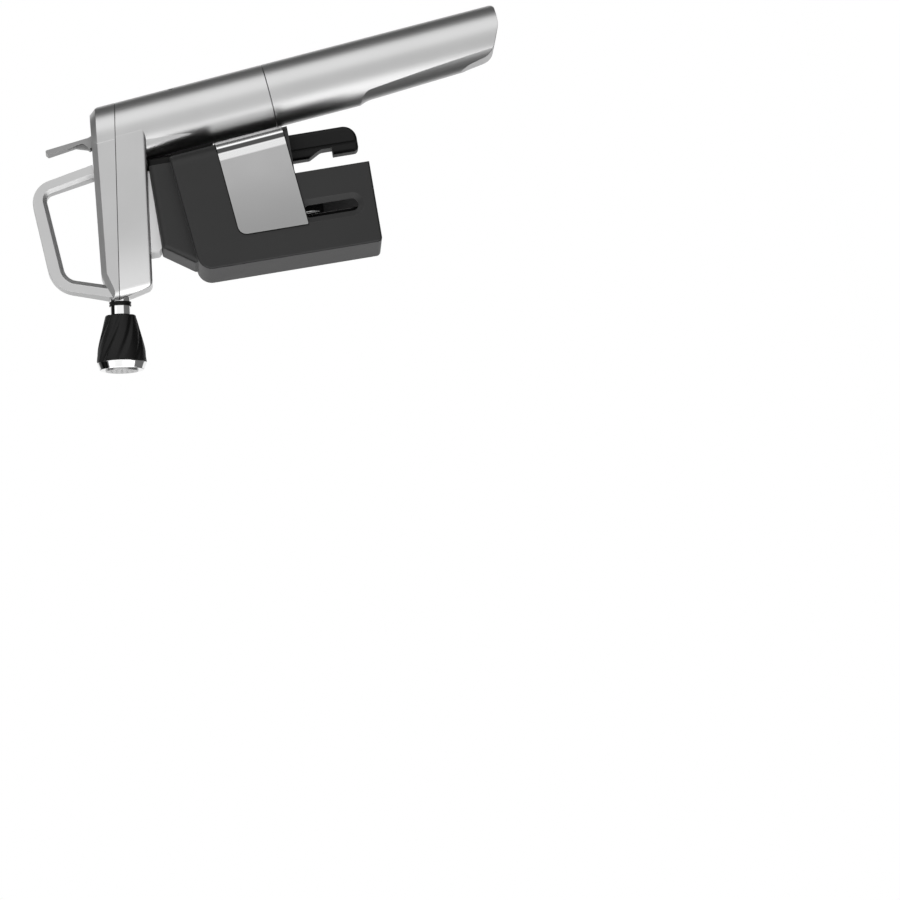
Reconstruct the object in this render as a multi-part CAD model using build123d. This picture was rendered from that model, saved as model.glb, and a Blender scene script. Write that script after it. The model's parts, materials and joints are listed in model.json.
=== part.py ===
from build123d import *
import math
import os

# Wine preservation dispenser: a needle goes through the cork of a bottle, gas from a capsule in the
# handle pushes the wine up the needle, and the wine leaves through a spout with an aerator.
# Millimetres. +Z up along the needle, +X towards the spout, Y across, origin at the centre of the
# bottle's mouth. The head is shown pushed down, with the needle through the cork.

# ---- Head: an arm that rises towards the spout, in a lower casting and a top cover ----
arm_rise = 7.85             # degrees, joint plane of the two shells and spout axis above level
joint_plane_height = 34.2   # of the joint plane, on the needle axis
arm_lean = 0.069            # by which the arm's sides draw in towards the nose
arm_depth = 14.4            # below the joint plane, at the nose
arm_taper = 1.35            # less depth at the handle
arm_nose = 25.2             # reach of the nose ahead of the needle axis
arm_nose_fall = 1.4         # slant of the nose below the joint plane
arm_chin = 5.6              # underside's end behind the nose
arm_chin_height = 3.8       # where the nose's slant turns into the chin
arm_chin_round = 3.0
arm_nose_round = 5.0        # corner of the nose seen from above
cover_rear_height = 10.9    # of the cover above the joint plane, behind the loop
cover_front_height = 7.6    # and where the nose starts to fall
cover_nose_run = 10.5       # length over which the nose falls
cover_nose_height = 3.0
cover_nose_round = 7.0      # where the nose starts to fall
cover_back_run = 9.7        # length of the slanted back corner
cover_back_fall = 8.3
cover_back_place = -56.3    # top of that corner along the arm
cover_chamfer = 2.5
arm_edge_round = 1.6
casting_wall = 2.2
cover_wall = 2.0
cavity_round = 4.0
shell_gap = 0.04            # between faces of one body that seat on each other
seam_gap = 0.2              # open seam between cover and casting

# ---- Finger loop on the cover ----
loop_back = -35.3           # foot of the loop behind the needle axis
loop_front = 24.0           # foot of the loop at the nose
loop_top_back = -30.0       # corners of the loop before rounding
loop_top_front = 15.4
loop_height_back = 68.6     # above the bottle's mouth
loop_height_front = 65.6
loop_foot = 39.6
loop_back_round = 10.0
loop_front_round = 13.0
loop_bar = 6.6              # thickness at the top
loop_leg = 5.5              # and in both legs, along the arm
loop_half_width = 7.4
loop_top_half_width = 5.0
loop_bevel = 1.8

# ---- Handle, a round tube that leans back ----
handle_tilt = 5.35          # degrees from the needle axis
handle_axis_back = 49.9     # behind the needle axis, at the height of the mouth
handle_radius = 14.1
handle_joint = -41.0        # height where the capsule cup meets the head's sleeve
sleeve_bore = 11.3
ridge_reach = 12.4          # corners of the sleeve ahead of its axis, under the arm
ridge_half_width = 12.6
ridge_foot_reach = 9.4      # and at the joint with the cup
ridge_foot_half_width = 9.4
ridge_height = 62.0         # above the joint, inside the arm
ridge_round = 4.0
vent_radius = 1.1           # pressure vent in the sleeve
vent_height = 40.7          # above the joint
vent_angle = 157.0          # degrees from straight ahead
cup_length = 104.9
cup_back_round = 3.0        # of the end's back corner
cup_slant_start = 3.2       # where the end turns into its slant, behind the handle axis
cup_slant_foot = 0.4
cup_slant_front = 8.2       # where the slanted end turns up into the finger cut
cup_slant_rise = 6.2
cup_toe_front = 9.9         # where that turn ends
cup_toe_rise = 16.8
grip_cut_radius = 19.5      # of the finger cut on the side of the bottle
grip_cut_lean = 2.0         # degrees by which the cut deepens towards the tip
grip_cut_depth = 1.3        # where it starts
grip_cut_start = 30.0       # below the joint
grip_cut_runout = 10.0      # length and height of the slope at its start
grip_cut_rise = 4.2
grip_cut_round = 14.0
cup_nose_height = 13.0      # threaded nose of the cup inside the sleeve
cup_thread_gap = 0.3
cup_seal_wire = 0.65
cup_seal_height = 1.8
cup_joint_gap = 0.3
cup_light_bore = 7.0
cup_end_wall = 12.0

# ---- Gas capsule and regulator ----
capsule_radius = 9.3
capsule_length = 65.0
capsule_neck_radius = 4.0
capsule_neck_length = 9.0
capsule_shoulder = 7.0
capsule_wall = 1.5
capsule_gap = 0.35          # round the capsule in the cup
capsule_top = 13.6          # above the handle joint
capsule_seat_depth = 2.0    # rubber seat under the capsule
pierce_radius = 0.7
pierce_gap = 0.35
pierce_depth = 2.5
pierce_point = 1.2
gasket_thickness = 1.0
regulator_height = 30.0
regulator_bore = 7.6
regulator_floor = 6.0
regulator_cap = 4.0
regulator_port = 1.0
piston_radius = 7.5
piston_height = 6.0
piston_wall = 3.0           # round the spring's seat in the piston
spring_wire = 0.6
regulator_spring_turns = 5

# ---- Valve and trigger ----
valve_radius = 5.8
valve_height = 11.5
valve_offset = 5.0          # of the stem ahead of the handle axis
stem_radius = 1.5
stem_dome = 2.4
stem_head = 0.4             # straight part of the stem's head
stem_reach = 5.2            # of the stem's dome above the valve body
valve_spring_wire = 0.3     # half width
valve_spring_turns = 2
valve_floor = 1.0
valve_chamber = 3.0         # free height under the stem
trigger_pivot_back = 3.0    # of the pivot behind the handle axis
trigger_pivot_rise = 2.4    # of the pivot above the toe's underside
trigger_toe_gap = 0.3
trigger_half_width = 5.0
trigger_toe_half_width = 2.1
trigger_toe_tip = 2.4       # height of the toe at its tip
trigger_toe_root = 5.4      # and at the hub
trigger_hub = 3.4
trigger_pin_radius = 1.25
trigger_pin_gap = 0.05
trigger_pin_short = 1.0     # of the pin's bore from the sleeve's outside
trigger_root_back = -47.7   # where the tab leaves the cover
trigger_root_front = -42.9
trigger_root_height = 39.8
trigger_tip_back = -45.1
trigger_tip_front = -43.1
trigger_tip_height = 59.6
trigger_pad_drop = 1.6      # of the tip's front corner below its back corner
trigger_pad_front = -45.7   # where the thin pad ends over its root
trigger_pad_height = 42.4
trigger_rib_front = -44.7   # rib under the pad
trigger_rib_height = 46.0
trigger_rib_half_width = 1.5
trigger_slot_back = 2.3     # free space of the cover's slot behind and ahead of the tab
trigger_slot_front = 3.0
trigger_side_gap = 0.6

# ---- Needle, manifold and spout ----
needle_depth = 55.0         # of the tip below the mouth
needle_radius = 1.05
needle_bore = 0.55
needle_tip = 3.5
needle_sleeve_radius = 1.35
needle_sleeve_foot = 0.8    # height of the sleeve's lower end above the mouth
needle_top = 27.0
needle_port = 0.4
hub_radius = 3.15
hub_top = 29.0
hub_flange_radius = 4.6
hub_flange_height = 3.2
hub_gap = 0.25
manifold_back = 8.5
manifold_front = 9.5
manifold_half_width = 6.4
manifold_rise = 5.0         # above the spout axis
manifold_floor_gap = 0.3
spout_radius = 4.35
spout_bore = 2.2
spout_start = 3.0           # along the spout axis from the needle axis
spout_plug_radius = 3.7     # where the tube is turned down for the aerator
spout_end = 41.0
spout_ring_radius = 4.8
spout_ring_length = 1.9
spout_ring_gap = 0.25       # between the nose and the ring
spout_seal_place = 37.0
spout_groove = 0.7          # depth of the seal's groove
spout_groove_width = 1.0
seal_wire = 0.34
gas_tube_radius = 1.2
gas_tube_bore = 0.6
gas_tube_side = 3.6
gas_tube_drop = 6.0         # below the spout axis
gas_tube_bend = 2.4

# ---- Aerator, pushed on to the spout ----
aerator_start = 31.4        # along the spout axis
aerator_length = 20.6
aerator_top_radius = 6.75
aerator_mid_radius = 9.35
aerator_foot_radius = 10.9
aerator_mid = 11.5
aerator_widest = 19.0
aerator_socket_gap = 0.06   # round the spout's plug
aerator_seat_gap = 0.3      # between the spout's step and the aerator
aerator_socket_depth = 12.0
aerator_wall = 1.9
flute_count = 8
flute_radius = 1.9
flute_bite = 0.65
flute_twist = 52.0          # degrees from one end of a flute to the other
flute_start = 2.6
aerator_ring_length = 3.3
aerator_ring_foot_radius = 9.6
shower_radius = 7.15
shower_thickness = 1.4
shower_proud = 0.6
shower_hole = 0.5
shower_ring_pitch = 2.4
shower_hole_counts = (1, 6, 12)

# ---- Clamp housing, which stands on the bottle ----
clamp_half_width = 22.0
clamp_front = 20.5
clamp_depth = 78.7          # below the mouth
clamp_wall = 2.4
clamp_step_depth = 46.0     # where the tall back ends, below the mouth
clamp_low_back = 15.0       # back of the lower part, behind the needle
clamp_rear_gap = 3.2        # between the housing's back and the handle
clamp_shoulder_back = 6.6
clamp_shoulder_front = 1.2
clamp_top_round = 6.5
clamp_foot_round = 2.0
clamp_rear_round = 6.0
clamp_edge_round = 1.0
collar_height = 15.8
collar_half_width = 15.5
collar_back = 29.5
collar_front = 6.6
collar_nose = 15.5
collar_nose_height = 3.0
collar_round = 2.6
foot_gap = 0.2              # between the head's foot and the collar, head pushed down
foot_half_width = 10.4
foot_back = 28.0
foot_front = 7.2
foot_bevel = 1.2
window_centre = 2.4
window_height = 5.4
window_foot = 71.0          # below the mouth
window_head = 47.0
window_bevel = 2.5
window_bevel_depth = 1.5
mouth_pad_radius = 13.0
mouth_pad_bore = 5.0
mouth_pad_thickness = 2.0
guide_radius = 4.2
guide_flange_radius = 6.0
guide_flange = 1.6
guide_top_gap = 0.4
guide_bore_gap = 0.08       # round the needle's sleeve

# ---- Guide rail of the head, on which the clamp slides ----
rail_back = 34.6            # behind the needle
rail_front = 23.0
rail_foot = 75.8            # below the mouth
rail_half_width = 5.5
rail_back_round = 6.0
rail_foot_round = 2.0
rail_edge_round = 1.5
rail_groove = 27.0          # centre of the side grooves, behind the needle
rail_groove_width = 1.3
rail_groove_depth = 1.2
rail_notch_high = 52.1      # below the mouth, where the notch's ramp starts
rail_notch_mid = 59.2
rail_notch_low = 64.4
rail_notch_depth = 3.0
rail_gap = 0.3
rail_screw_radius = 1.25
rail_screw_length = 9.0
rail_screw_head = 2.3
rail_screw_head_height = 1.6
liner_thickness = 1.2
liner_wall = 2.0

# ---- Jaws ----
grip_radius = 13.8          # of the pads, relaxed
pad_thickness = 1.3
jaw_thickness = 1.8
jaw_front_angle = 34.0      # degrees from the forward direction
jaw_back_angle = 140.0
jaw_top = 1.0               # below the mouth
jaw_foot = 77.5
pad_top = 57.0
pad_foot = 76.0
jaw_slot_back = 1.5
jaw_slot_front = 6.3
jaw_slot_head = 42.0
jaw_slot_foot = 72.5
jaw_pin_back = 17.0
jaw_pin_side = 13.5
jaw_pin_radius = 1.5
jaw_pin_gap = 0.05
jaw_pin_top = 4.0
jaw_knuckle = 3.4
jaw_knuckle_gap = 0.4
jaw_spring_top = 18.5
jaw_spring_height = 7.0
jaw_spring_turns = 4
jaw_shelf = 3.0
jaw_link_width = 3.0

# ---- Trim plates on the housing's sides ----
trim_thickness = 0.8
trim_top_back = -13.9       # heights of the plate's corners
trim_top_front = -18.0
trim_foot_back = -43.6
trim_foot_front = -48.2
trim_front = 8.0
trim_corner_round = 3.5
trim_rail_clear = 9.0

# ---- Screws that hold the cover to the casting ----
screw_place = -20.0         # along the arm from the needle axis
screw_side = 7.6
screw_radius = 1.2
screw_head_radius = 1.9
screw_head_height = 1.6
screw_boss = 2.3
screw_bite = 6.0

# ---- Worked out from the sizes above ----
rise, tilt = math.radians(arm_rise), math.radians(handle_tilt)


def handle_x(height):
    """Place of the handle's axis at a height."""
    return -handle_axis_back + height * math.tan(tilt)


def clamp_rear(height):
    """Back face of the clamp housing, which follows the handle."""
    return handle_x(height) + handle_radius / math.cos(tilt) + clamp_rear_gap


SIDE = Plane.XZ
ARM_SIDE = Plane(origin=(0, 0, joint_plane_height),
                 x_dir=(math.cos(rise), 0, math.sin(rise)), z_dir=(0, -1, 0))
ARM_PLAN = Plane(origin=(0, 0, joint_plane_height),
                 x_dir=(math.cos(rise), 0, math.sin(rise)), z_dir=(-math.sin(rise), 0, math.cos(rise)))
SPOUT = Plane(origin=(0, 0, joint_plane_height), x_dir=(0, 1, 0),
              z_dir=(math.cos(rise), 0, math.sin(rise)))
HANDLE = Plane(origin=(handle_x(handle_joint), 0, handle_joint),
               x_dir=(math.cos(tilt), 0, -math.sin(tilt)), z_dir=(math.sin(tilt), 0, math.cos(tilt)))
HANDLE_SIDE = Plane(origin=(handle_x(handle_joint), 0, handle_joint),
                    x_dir=(math.cos(tilt), 0, -math.sin(tilt)), z_dir=(0, -1, 0))

regulator_foot = capsule_top + gasket_thickness + 2 * shell_gap
regulator_top = regulator_foot + regulator_height
valve_foot = regulator_top + shell_gap
valve_top = valve_foot + valve_height
stem_top = valve_top + stem_reach
arm_reach = (arm_nose * math.cos(rise + tilt) + handle_axis_back * math.cos(tilt)
             - joint_plane_height * math.sin(tilt))
spout_step = aerator_start - aerator_seat_gap
spout_ring_start = arm_nose + spout_ring_gap
toe_under = stem_top + trigger_toe_gap
pivot_height = toe_under + trigger_pivot_rise
cup_nose_radius = sleeve_bore - cup_thread_gap
cup_seal_radius = sleeve_bore - cup_seal_wire - 0.1
cup_bore = capsule_radius + capsule_gap
capsule_foot = capsule_top - capsule_length
seat_foot = capsule_foot - capsule_seat_depth - shell_gap
foot_under = collar_height + foot_gap
arm_floor = arm_depth - arm_taper - casting_wall
channel_half = rail_half_width + rail_gap + liner_thickness
channel_front = -rail_front + rail_gap
jaw_inner = grip_radius + pad_thickness
jaw_outer = jaw_inner + jaw_thickness
far = 200.0                 # longer than the dispenser, for cutting


# ---- Helpers ----
def outline(*corners):
    """Closed face through (x, y, rounding) corners."""
    points = [Vector(x, y) for x, y, _ in corners]
    curves, reached, left = [], [], []
    for index, (_, _, radius) in enumerate(corners):
        here = points[index]
        back = (points[index - 1] - here).normalized()
        ahead = (points[(index + 1) % len(points)] - here).normalized()
        half_angle = math.radians(back.get_angle(ahead)) / 2
        reach = radius / math.tan(half_angle)
        reached.append(here + back * reach)
        left.append(here + ahead * reach)
        if radius:
            middle = here + (back + ahead).normalized() * (radius / math.sin(half_angle) - radius)
            curves.append(ThreePointArc(reached[-1], middle, left[-1]))
    for index, start in enumerate(left):
        curves.append(Line(start, reached[(index + 1) % len(points)]))
    return make_face(Curve() + curves)


def slab(plane, face, half_width):
    """The face on a plane, thickened to both sides."""
    return extrude(plane * face, amount=half_width, both=True)


def turned(*corners):
    """Solid of revolution about Z through (radius, height, rounding) corners."""
    return revolve(Plane.XZ * outline(*corners), axis=Axis.Z)


def rod(radius, low, high):
    """Round bar about Z from one height to another."""
    return Pos(0, 0, (low + high) / 2) * Cylinder(radius, high - low)


def tube(radius, bore, low, high):
    """Round tube about Z."""
    return rod(radius, low, high) - rod(bore, low - 1, high + 1)


def block(x, y, z):
    """Box between (low, high) pairs."""
    centre = Pos(sum(x) / 2, sum(y) / 2, sum(z) / 2)
    return centre * Box(x[1] - x[0], y[1] - y[0], z[1] - z[0])


def coil(radius, wire, low, height, turns):
    """Coil spring about Z, of square wire with the given half width."""
    path = Helix(pitch=(height - 2 * wire) / turns, height=height - 2 * wire, radius=radius)
    section = Plane(origin=path @ 0, z_dir=path % 0) * Rectangle(2 * wire, 2 * wire)
    return Pos(0, 0, low + wire) * sweep(section, path=path, is_frenet=True)


def mirrored(shape):
    """The same shape on the other side of the dispenser."""
    return mirror(shape, about=Plane.XZ)


# ---- Head shells ----
def arm_column(inset, corner):
    """Endless column over the arm's plan, or over its inside. Its sides touch the handle's sleeve."""
    back, nose = handle_radius * arm_lean, arm_reach - inset
    wide, narrow = (handle_radius * math.hypot(1, arm_lean) - arm_lean * place - shell_gap / 2 - inset
                    for place in (back, nose))
    plan = outline((back, -wide, 0), (nose, -narrow, corner), (nose, narrow, corner), (back, wide, 0))
    return extrude(HANDLE * plan, amount=far, both=True)


def below_joint_plane(floor):
    """All space below the joint plane of the two shells, down to a floor if one is given."""
    low = -floor if floor else -far
    return slab(ARM_SIDE, outline((-far, 0, 0), (far, 0, 0), (far, low, 0), (-far, low, 0)), far)


def underside(x):
    """Height of the arm's underside at a place ahead of the needle axis."""
    back = ARM_SIDE.from_local_coords(Vector(-handle_axis_back, arm_taper - arm_depth))
    front = ARM_SIDE.from_local_coords(Vector(arm_nose - arm_chin, -arm_depth))
    return back.Z + (x - back.X) * (front.Z - back.Z) / (front.X - back.X)


def arm_height(x, over):
    """Height of the plane that lies over the joint plane by a distance, at a place ahead of the needle."""
    return joint_plane_height + x * math.tan(rise) + over / math.cos(rise)


def arm_side(top):
    """Side of the lower half of the arm, up to a distance over the joint plane."""
    back, lean = -handle_axis_back, arm_nose_fall / arm_chin_height
    return outline((back, top, 0), (arm_nose + top * lean, top, 0),
                   (arm_nose - arm_nose_fall, -arm_chin_height, arm_chin_round),
                   (arm_nose - arm_chin, -arm_depth, arm_chin_round), (back, arm_taper - arm_depth, 0))


def arm_stock():
    """Lower half of the arm, below the joint plane."""
    arm = slab(ARM_SIDE, arm_side(0), far) & arm_column(0, 0)
    return fillet(outer_edges(arm, -far, -0.1), arm_edge_round) & arm_column(0, arm_nose_round)


def outer_edges(arm, low, high):
    """Edges along the arm's sides between two heights over the joint plane, apart from its back end."""
    def along_side(edge):
        ends = [ARM_SIDE.to_local_coords(edge @ share) for share in (0, 0.5, 1)]
        lies = abs(ends[0].X - ends[2].X) > 1 and abs(ends[1].Z) > 1
        return lies and low < ends[1].Y < high and ends[1].X > -handle_axis_back + 0.1
    return arm.edges().filter_by(along_side)


def sleeve_ridge():
    """Corners of the sleeve that run down from the arm's sides and end at the cup."""
    def section(reach, half_width, height):
        return HANDLE * Pos(reach / 2, 0, height) * RectangleRounded(reach, 2 * half_width, ridge_round)
    ridge = loft([section(ridge_foot_reach, ridge_foot_half_width, 0),
                  section(ridge_reach, ridge_half_width, ridge_height)])
    return ridge & below_joint_plane(0)


def screw_sides():
    """Both cover screws, with Z across the joint plane."""
    return [ARM_PLAN * Pos(screw_place, side, 0) for side in (-screw_side, screw_side)]


def rail_screw_places():
    """Both rail screws, with Z upright from the arm's underside."""
    places = [-rail_back + 1.6 * rail_screw_head, -rail_front - 1.3 * rail_screw_head]
    return [Pos(x, 0, underside(x)) for x in places]


def trigger_pivot():
    """The trigger's pin, with Z along the pin."""
    return Plane(origin=HANDLE.from_local_coords(Vector(-trigger_pivot_back, 0, pivot_height)), z_dir=(0, 1, 0))


def body_casting():
    """Lower half of the head: the arm and the handle's upper sleeve."""
    sleeve = HANDLE * rod(handle_radius, 0, far / 2) & below_joint_plane(0)
    body = sleeve + sleeve_ridge() + arm_stock()
    body -= HANDLE * rod(sleeve_bore, -1, far / 2)
    pocket = arm_column(casting_wall, cavity_round) & below_joint_plane(arm_floor)
    body -= pocket & slab(ARM_SIDE, offset(arm_side(2 * casting_wall), amount=-casting_wall), far)
    for place in screw_sides():
        body += place * rod(screw_boss, -arm_floor - 1, -shell_gap)
        body -= place * rod(screw_radius + 0.15, -far, far)
        body -= place * rod(screw_head_radius + 0.15, -far, -arm_floor)
    body -= SPOUT * rod(spout_radius + shell_gap, spout_start, far)
    body -= rod(hub_radius + hub_gap, collar_height, hub_top)
    for place in rail_screw_places():
        body -= place * rod(rail_screw_radius + 0.1, -far / 20, far / 20)
    vent = HANDLE * Pos(0, 0, vent_height) * Rot(0, 0, vent_angle) * Rot(0, 90, 0)
    body -= vent * rod(vent_radius, sleeve_bore - 1, far)
    pin_reach = handle_radius - trigger_pin_short
    return body - trigger_pivot() * rod(trigger_pin_radius + shell_gap, -pin_reach, pin_reach)


def cover_side(inset):
    """Side of the top cover over the arm and the handle, or of its inside."""
    slant = (cover_rear_height - cover_front_height) / (arm_nose - cover_nose_run - cover_back_place)
    back = cover_back_place - cover_back_run
    nose = arm_nose - inset
    return outline((back, 0, 0), (back, cover_rear_height - cover_back_fall, 0),
                   (cover_back_place, cover_rear_height - inset, 2 if inset else 0),
                   (nose - cover_nose_run, cover_front_height - inset + slant * inset, cover_nose_round),
                   (nose, cover_nose_height, 0), (nose, 0, 0))


def cover_block(inset):
    """Cover's shape over the arm and the handle's round top."""
    side = cover_side(inset)
    over_arm = slab(ARM_SIDE, side, far) & arm_column(inset, 0)
    over_handle = slab(ARM_SIDE, side, handle_radius) & HANDLE * rod(sleeve_bore if inset else handle_radius, 0, far)
    if not inset:
        over_arm = chamfer(outer_edges(over_arm, cover_nose_height + 0.1, far), cover_chamfer)
        top = over_handle.faces().filter_by(GeomType.PLANE).sort_by(Axis.Z)[-1]
        over_handle = chamfer(top.edges().filter_by(GeomType.LINE, reverse=True), cover_chamfer)
    return (over_arm & arm_column(inset, arm_nose_round - inset)) + over_handle


def loop_side(root, leg, bar):
    """Finger loop's outer shape, its sides lengthened by a root, or its opening inside the legs and the bar."""
    back_lean = (loop_top_back - loop_back) / (loop_height_back - loop_foot)
    front_lean = (loop_front - loop_top_front) / (loop_height_front - loop_foot)
    return outline((loop_back - root * back_lean + leg, loop_foot - root, 0),
                   (loop_top_back - bar * back_lean + leg, loop_height_back - bar, loop_back_round - bar),
                   (loop_top_front + bar * front_lean - leg, loop_height_front - bar, loop_front_round - bar),
                   (loop_front + root * front_lean - leg, loop_foot - root, 0))


def finger_loop():
    """Loop that thins towards its top, with a bevelled opening."""
    loop = slab(SIDE, loop_side(0, 0, 0), loop_half_width)
    thinning = math.atan2(loop_half_width - loop_top_half_width, loop_height_back - loop_foot)
    skin = Pos(0, loop_half_width, loop_foot) * Rot(math.degrees(thinning), 0, 0)
    waste = skin * block((-far, far), (0, far), (-far, far))
    loop = loop - waste - mirrored(waste)
    loop -= slab(SIDE, loop_side(loop_bar, loop_leg, loop_bar), far)
    sides = loop.faces().filter_by(lambda face: abs(face.normal_at().Y) > 0.9)
    rim = [edge for face in sides for edge in face.edges() if is_rim(edge)]
    return chamfer(rim, loop_bevel)


def is_rim(edge):
    """True for an edge of the loop's opening: its middle lies inside the outer shape."""
    middle = edge @ 0.5
    margin = loop_bar / 2
    return (loop_back + margin < middle.X < loop_front - margin - 3
            and loop_foot + 1 < middle.Z < loop_height_front - margin)


def trigger_slot():
    """Slot of the cover round the trigger's tab."""
    half = trigger_half_width + trigger_side_gap
    return block((trigger_root_back - trigger_slot_back, trigger_root_front + trigger_slot_front),
                 (-half, half), (trigger_root_height - cover_rear_height, trigger_root_height + 3))


def top_cover():
    """Upper half of the head, with the finger loop and the trigger's slot."""
    cover = cover_block(0) + finger_loop() - cover_block(cover_wall)
    cover -= trigger_slot()
    for place in screw_sides():
        cover += place * rod(screw_boss, shell_gap, cover_front_height)
        cover -= place * rod(screw_radius, -1, screw_bite)
    cover -= SPOUT * rod(spout_radius + shell_gap, spout_start, far)
    return Pos(-seam_gap * math.sin(rise), 0, seam_gap * math.cos(rise)) * cover


def cover_screws():
    """Screws from the arm's underside into the cover."""
    shank = rod(screw_radius - 0.05, -arm_floor - 1, screw_bite - 0.5)
    head = rod(screw_head_radius, -arm_floor - screw_head_height, -arm_floor - shell_gap)
    return [place * (shank + head) for place in screw_sides()]


def rest_foot():
    """Wedge under the arm that sits on the clamp's collar."""
    side = outline((-foot_back, foot_under, 0), (foot_front - foot_bevel, foot_under, 0),
                   (foot_front, foot_under + foot_bevel, 0),
                   (foot_front, underside(foot_front) - shell_gap, 0),
                   (-foot_back, underside(-foot_back) - shell_gap, 0))
    foot = slab(SIDE, side, foot_half_width)
    foot -= rod(hub_flange_radius + hub_gap, 0, far)
    half = rail_half_width + hub_gap
    return foot - block((-far, hub_gap - rail_front), (-half, half), (0, far))


# ---- Rail ----
def guide_rail():
    """Rail under the head on which the clamp slides, with side grooves and a stop notch."""
    bar = outline((-rail_back, underside(-rail_back) - shell_gap, 0), (-rail_back, -rail_foot, rail_back_round),
                  (-rail_front, -rail_foot, rail_foot_round), (-rail_front, underside(-rail_front) - shell_gap, 0))
    rail = slab(SIDE, bar, rail_half_width)
    back_edges = rail.edges().filter_by(lambda edge: (edge @ 0.5).X < -rail_back + rail_back_round
                                        and abs((edge @ 0.5).Y) > rail_half_width - 0.1)
    rail = fillet(back_edges, rail_edge_round)
    groove = block((-rail_groove - rail_groove_width / 2, -rail_groove + rail_groove_width / 2),
                   (rail_half_width - rail_groove_depth, far), (-far, far))
    notch = outline((-rail_front + 1, -rail_notch_high, 0), (-rail_front - rail_notch_depth, -rail_notch_mid, 4),
                    (-rail_front - rail_notch_depth, -rail_notch_low, 0), (-rail_front + 1, -rail_notch_low, 0))
    rail = rail - groove - mirrored(groove) - slab(SIDE, notch, far)
    rail -= HANDLE * rod(handle_radius + rail_gap, 0, far)
    for place in rail_screw_places():
        rail -= place * rod(rail_screw_radius, -rail_screw_length, 1)
    return rail


def rail_screws():
    """Screws from inside the arm into the rail's top."""
    screws = []
    for place in rail_screw_places():
        x = place.position.X
        seat = arm_height(x + rail_screw_head, -arm_floor) - underside(x) + shell_gap
        screws.append(place * (rod(rail_screw_radius - 0.05, 0.3 - rail_screw_length, seat)
                               + rod(rail_screw_head, seat, seat + rail_screw_head_height)))
    return screws


# ---- Needle, manifold and spout ----
def needle():
    """Hollow needle with a stiffening sleeve, a pointed tip and a side port."""
    stock = turned((0, -needle_depth, 0), (needle_radius, -needle_depth + needle_tip, 0),
                   (needle_radius, needle_sleeve_foot, 0), (needle_sleeve_radius, needle_sleeve_foot, 0),
                   (needle_sleeve_radius, needle_top, 0), (0, needle_top, 0))
    port_height = -needle_depth + needle_tip + 3 * needle_port
    port = Pos(0, 0, port_height) * Rot(0, 90, 0) * rod(needle_port, 0, far)
    return stock - rod(needle_bore, port_height - needle_port, far) - port


def needle_hub():
    """Threaded hub that holds the needle in the manifold."""
    low = foot_under + hub_gap
    hub = tube(hub_radius, needle_sleeve_radius + shell_gap, low, hub_top)
    return hub + tube(hub_flange_radius, needle_sleeve_radius + shell_gap, low, low + hub_flange_height)


def needle_seal():
    """Seal ring on top of the hub."""
    return Pos(0, 0, hub_top + seal_wire + shell_gap) * Torus(hub_radius - 2 * seal_wire, seal_wire)


def manifold_block():
    """Block in the arm that joins needle, spout and gas tube."""
    low, high = -arm_floor + manifold_floor_gap, manifold_rise
    side = outline((-manifold_back, low, 0), (manifold_front, low, 0),
                   (manifold_front, high, 1), (-manifold_back, high, 1))
    body = slab(ARM_SIDE, side, manifold_half_width)
    body -= rod(hub_radius + shell_gap, 0, hub_top + 2 * seal_wire + 2 * shell_gap)
    body -= rod(needle_sleeve_radius, 0, joint_plane_height)
    body -= SPOUT * rod(spout_radius + shell_gap, spout_start, far)
    body -= SPOUT * rod(needle_bore * 2, 0, far)
    port = SPOUT * Pos(gas_tube_side, -gas_tube_drop, 0)
    return body - port * rod(gas_tube_radius + shell_gap, -far, -manifold_back + 3)


def spout_tube():
    """Spout with a turned-down plug for the aerator and a groove for its seal."""
    groove = spout_plug_radius - spout_groove
    half = spout_groove_width / 2
    return SPOUT * turned((spout_bore, spout_start, 0), (spout_radius, spout_start, 0),
                          (spout_radius, spout_step, 0), (spout_plug_radius, spout_step, 0),
                          (spout_plug_radius, spout_seal_place - half, 0), (groove, spout_seal_place - half, 0),
                          (groove, spout_seal_place + half, 0), (spout_plug_radius, spout_seal_place + half, 0),
                          (spout_plug_radius, spout_end, 0.4), (spout_bore, spout_end, 0))


def spout_seal():
    """Seal ring in the spout's groove."""
    radius = spout_plug_radius - spout_groove + seal_wire + shell_gap / 2
    return SPOUT * Pos(0, 0, spout_seal_place) * Torus(radius, seal_wire)


def spout_ring():
    """Black collar where the spout leaves the nose."""
    return SPOUT * turned((spout_radius + shell_gap, spout_ring_start, 0), (spout_ring_radius, spout_ring_start, 0.3),
                          (spout_ring_radius, spout_ring_start + spout_ring_length, 0.3),
                          (spout_radius + shell_gap, spout_ring_start + spout_ring_length, 0))


def gas_tube():
    """Thin tube from the valve to the manifold."""
    foot = HANDLE.from_local_coords(Vector(valve_offset + gas_tube_radius, gas_tube_side, valve_top + shell_gap))
    end = ARM_PLAN.from_local_coords(Vector(-manifold_back + 2, gas_tube_side, -gas_tube_drop))
    ahead = (ARM_PLAN.from_local_coords(Vector(0, gas_tube_side, -gas_tube_drop)) - end).normalized()
    up = HANDLE.z_dir
    climb = ((end - foot).cross(ahead)).length / up.cross(ahead).length
    path = FilletPolyline(foot, foot + up * climb, end, radius=gas_tube_bend)
    section = Plane(origin=foot, z_dir=up) * (Circle(gas_tube_radius) - Circle(gas_tube_bore))
    return sweep(section, path=path)


# ---- Regulator, valve and trigger ----
def regulator_body():
    """Regulator in the sleeve, with the piston's bore."""
    top = regulator_top
    return HANDLE * turned((pierce_radius + shell_gap, regulator_foot, 0),
                           (sleeve_bore - shell_gap, regulator_foot, 0.8), (sleeve_bore - shell_gap, top, 0.8),
                           (regulator_bore, top, 0), (regulator_bore, regulator_foot + regulator_floor, 0),
                           (pierce_radius + shell_gap, regulator_foot + regulator_floor, 0))


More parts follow.
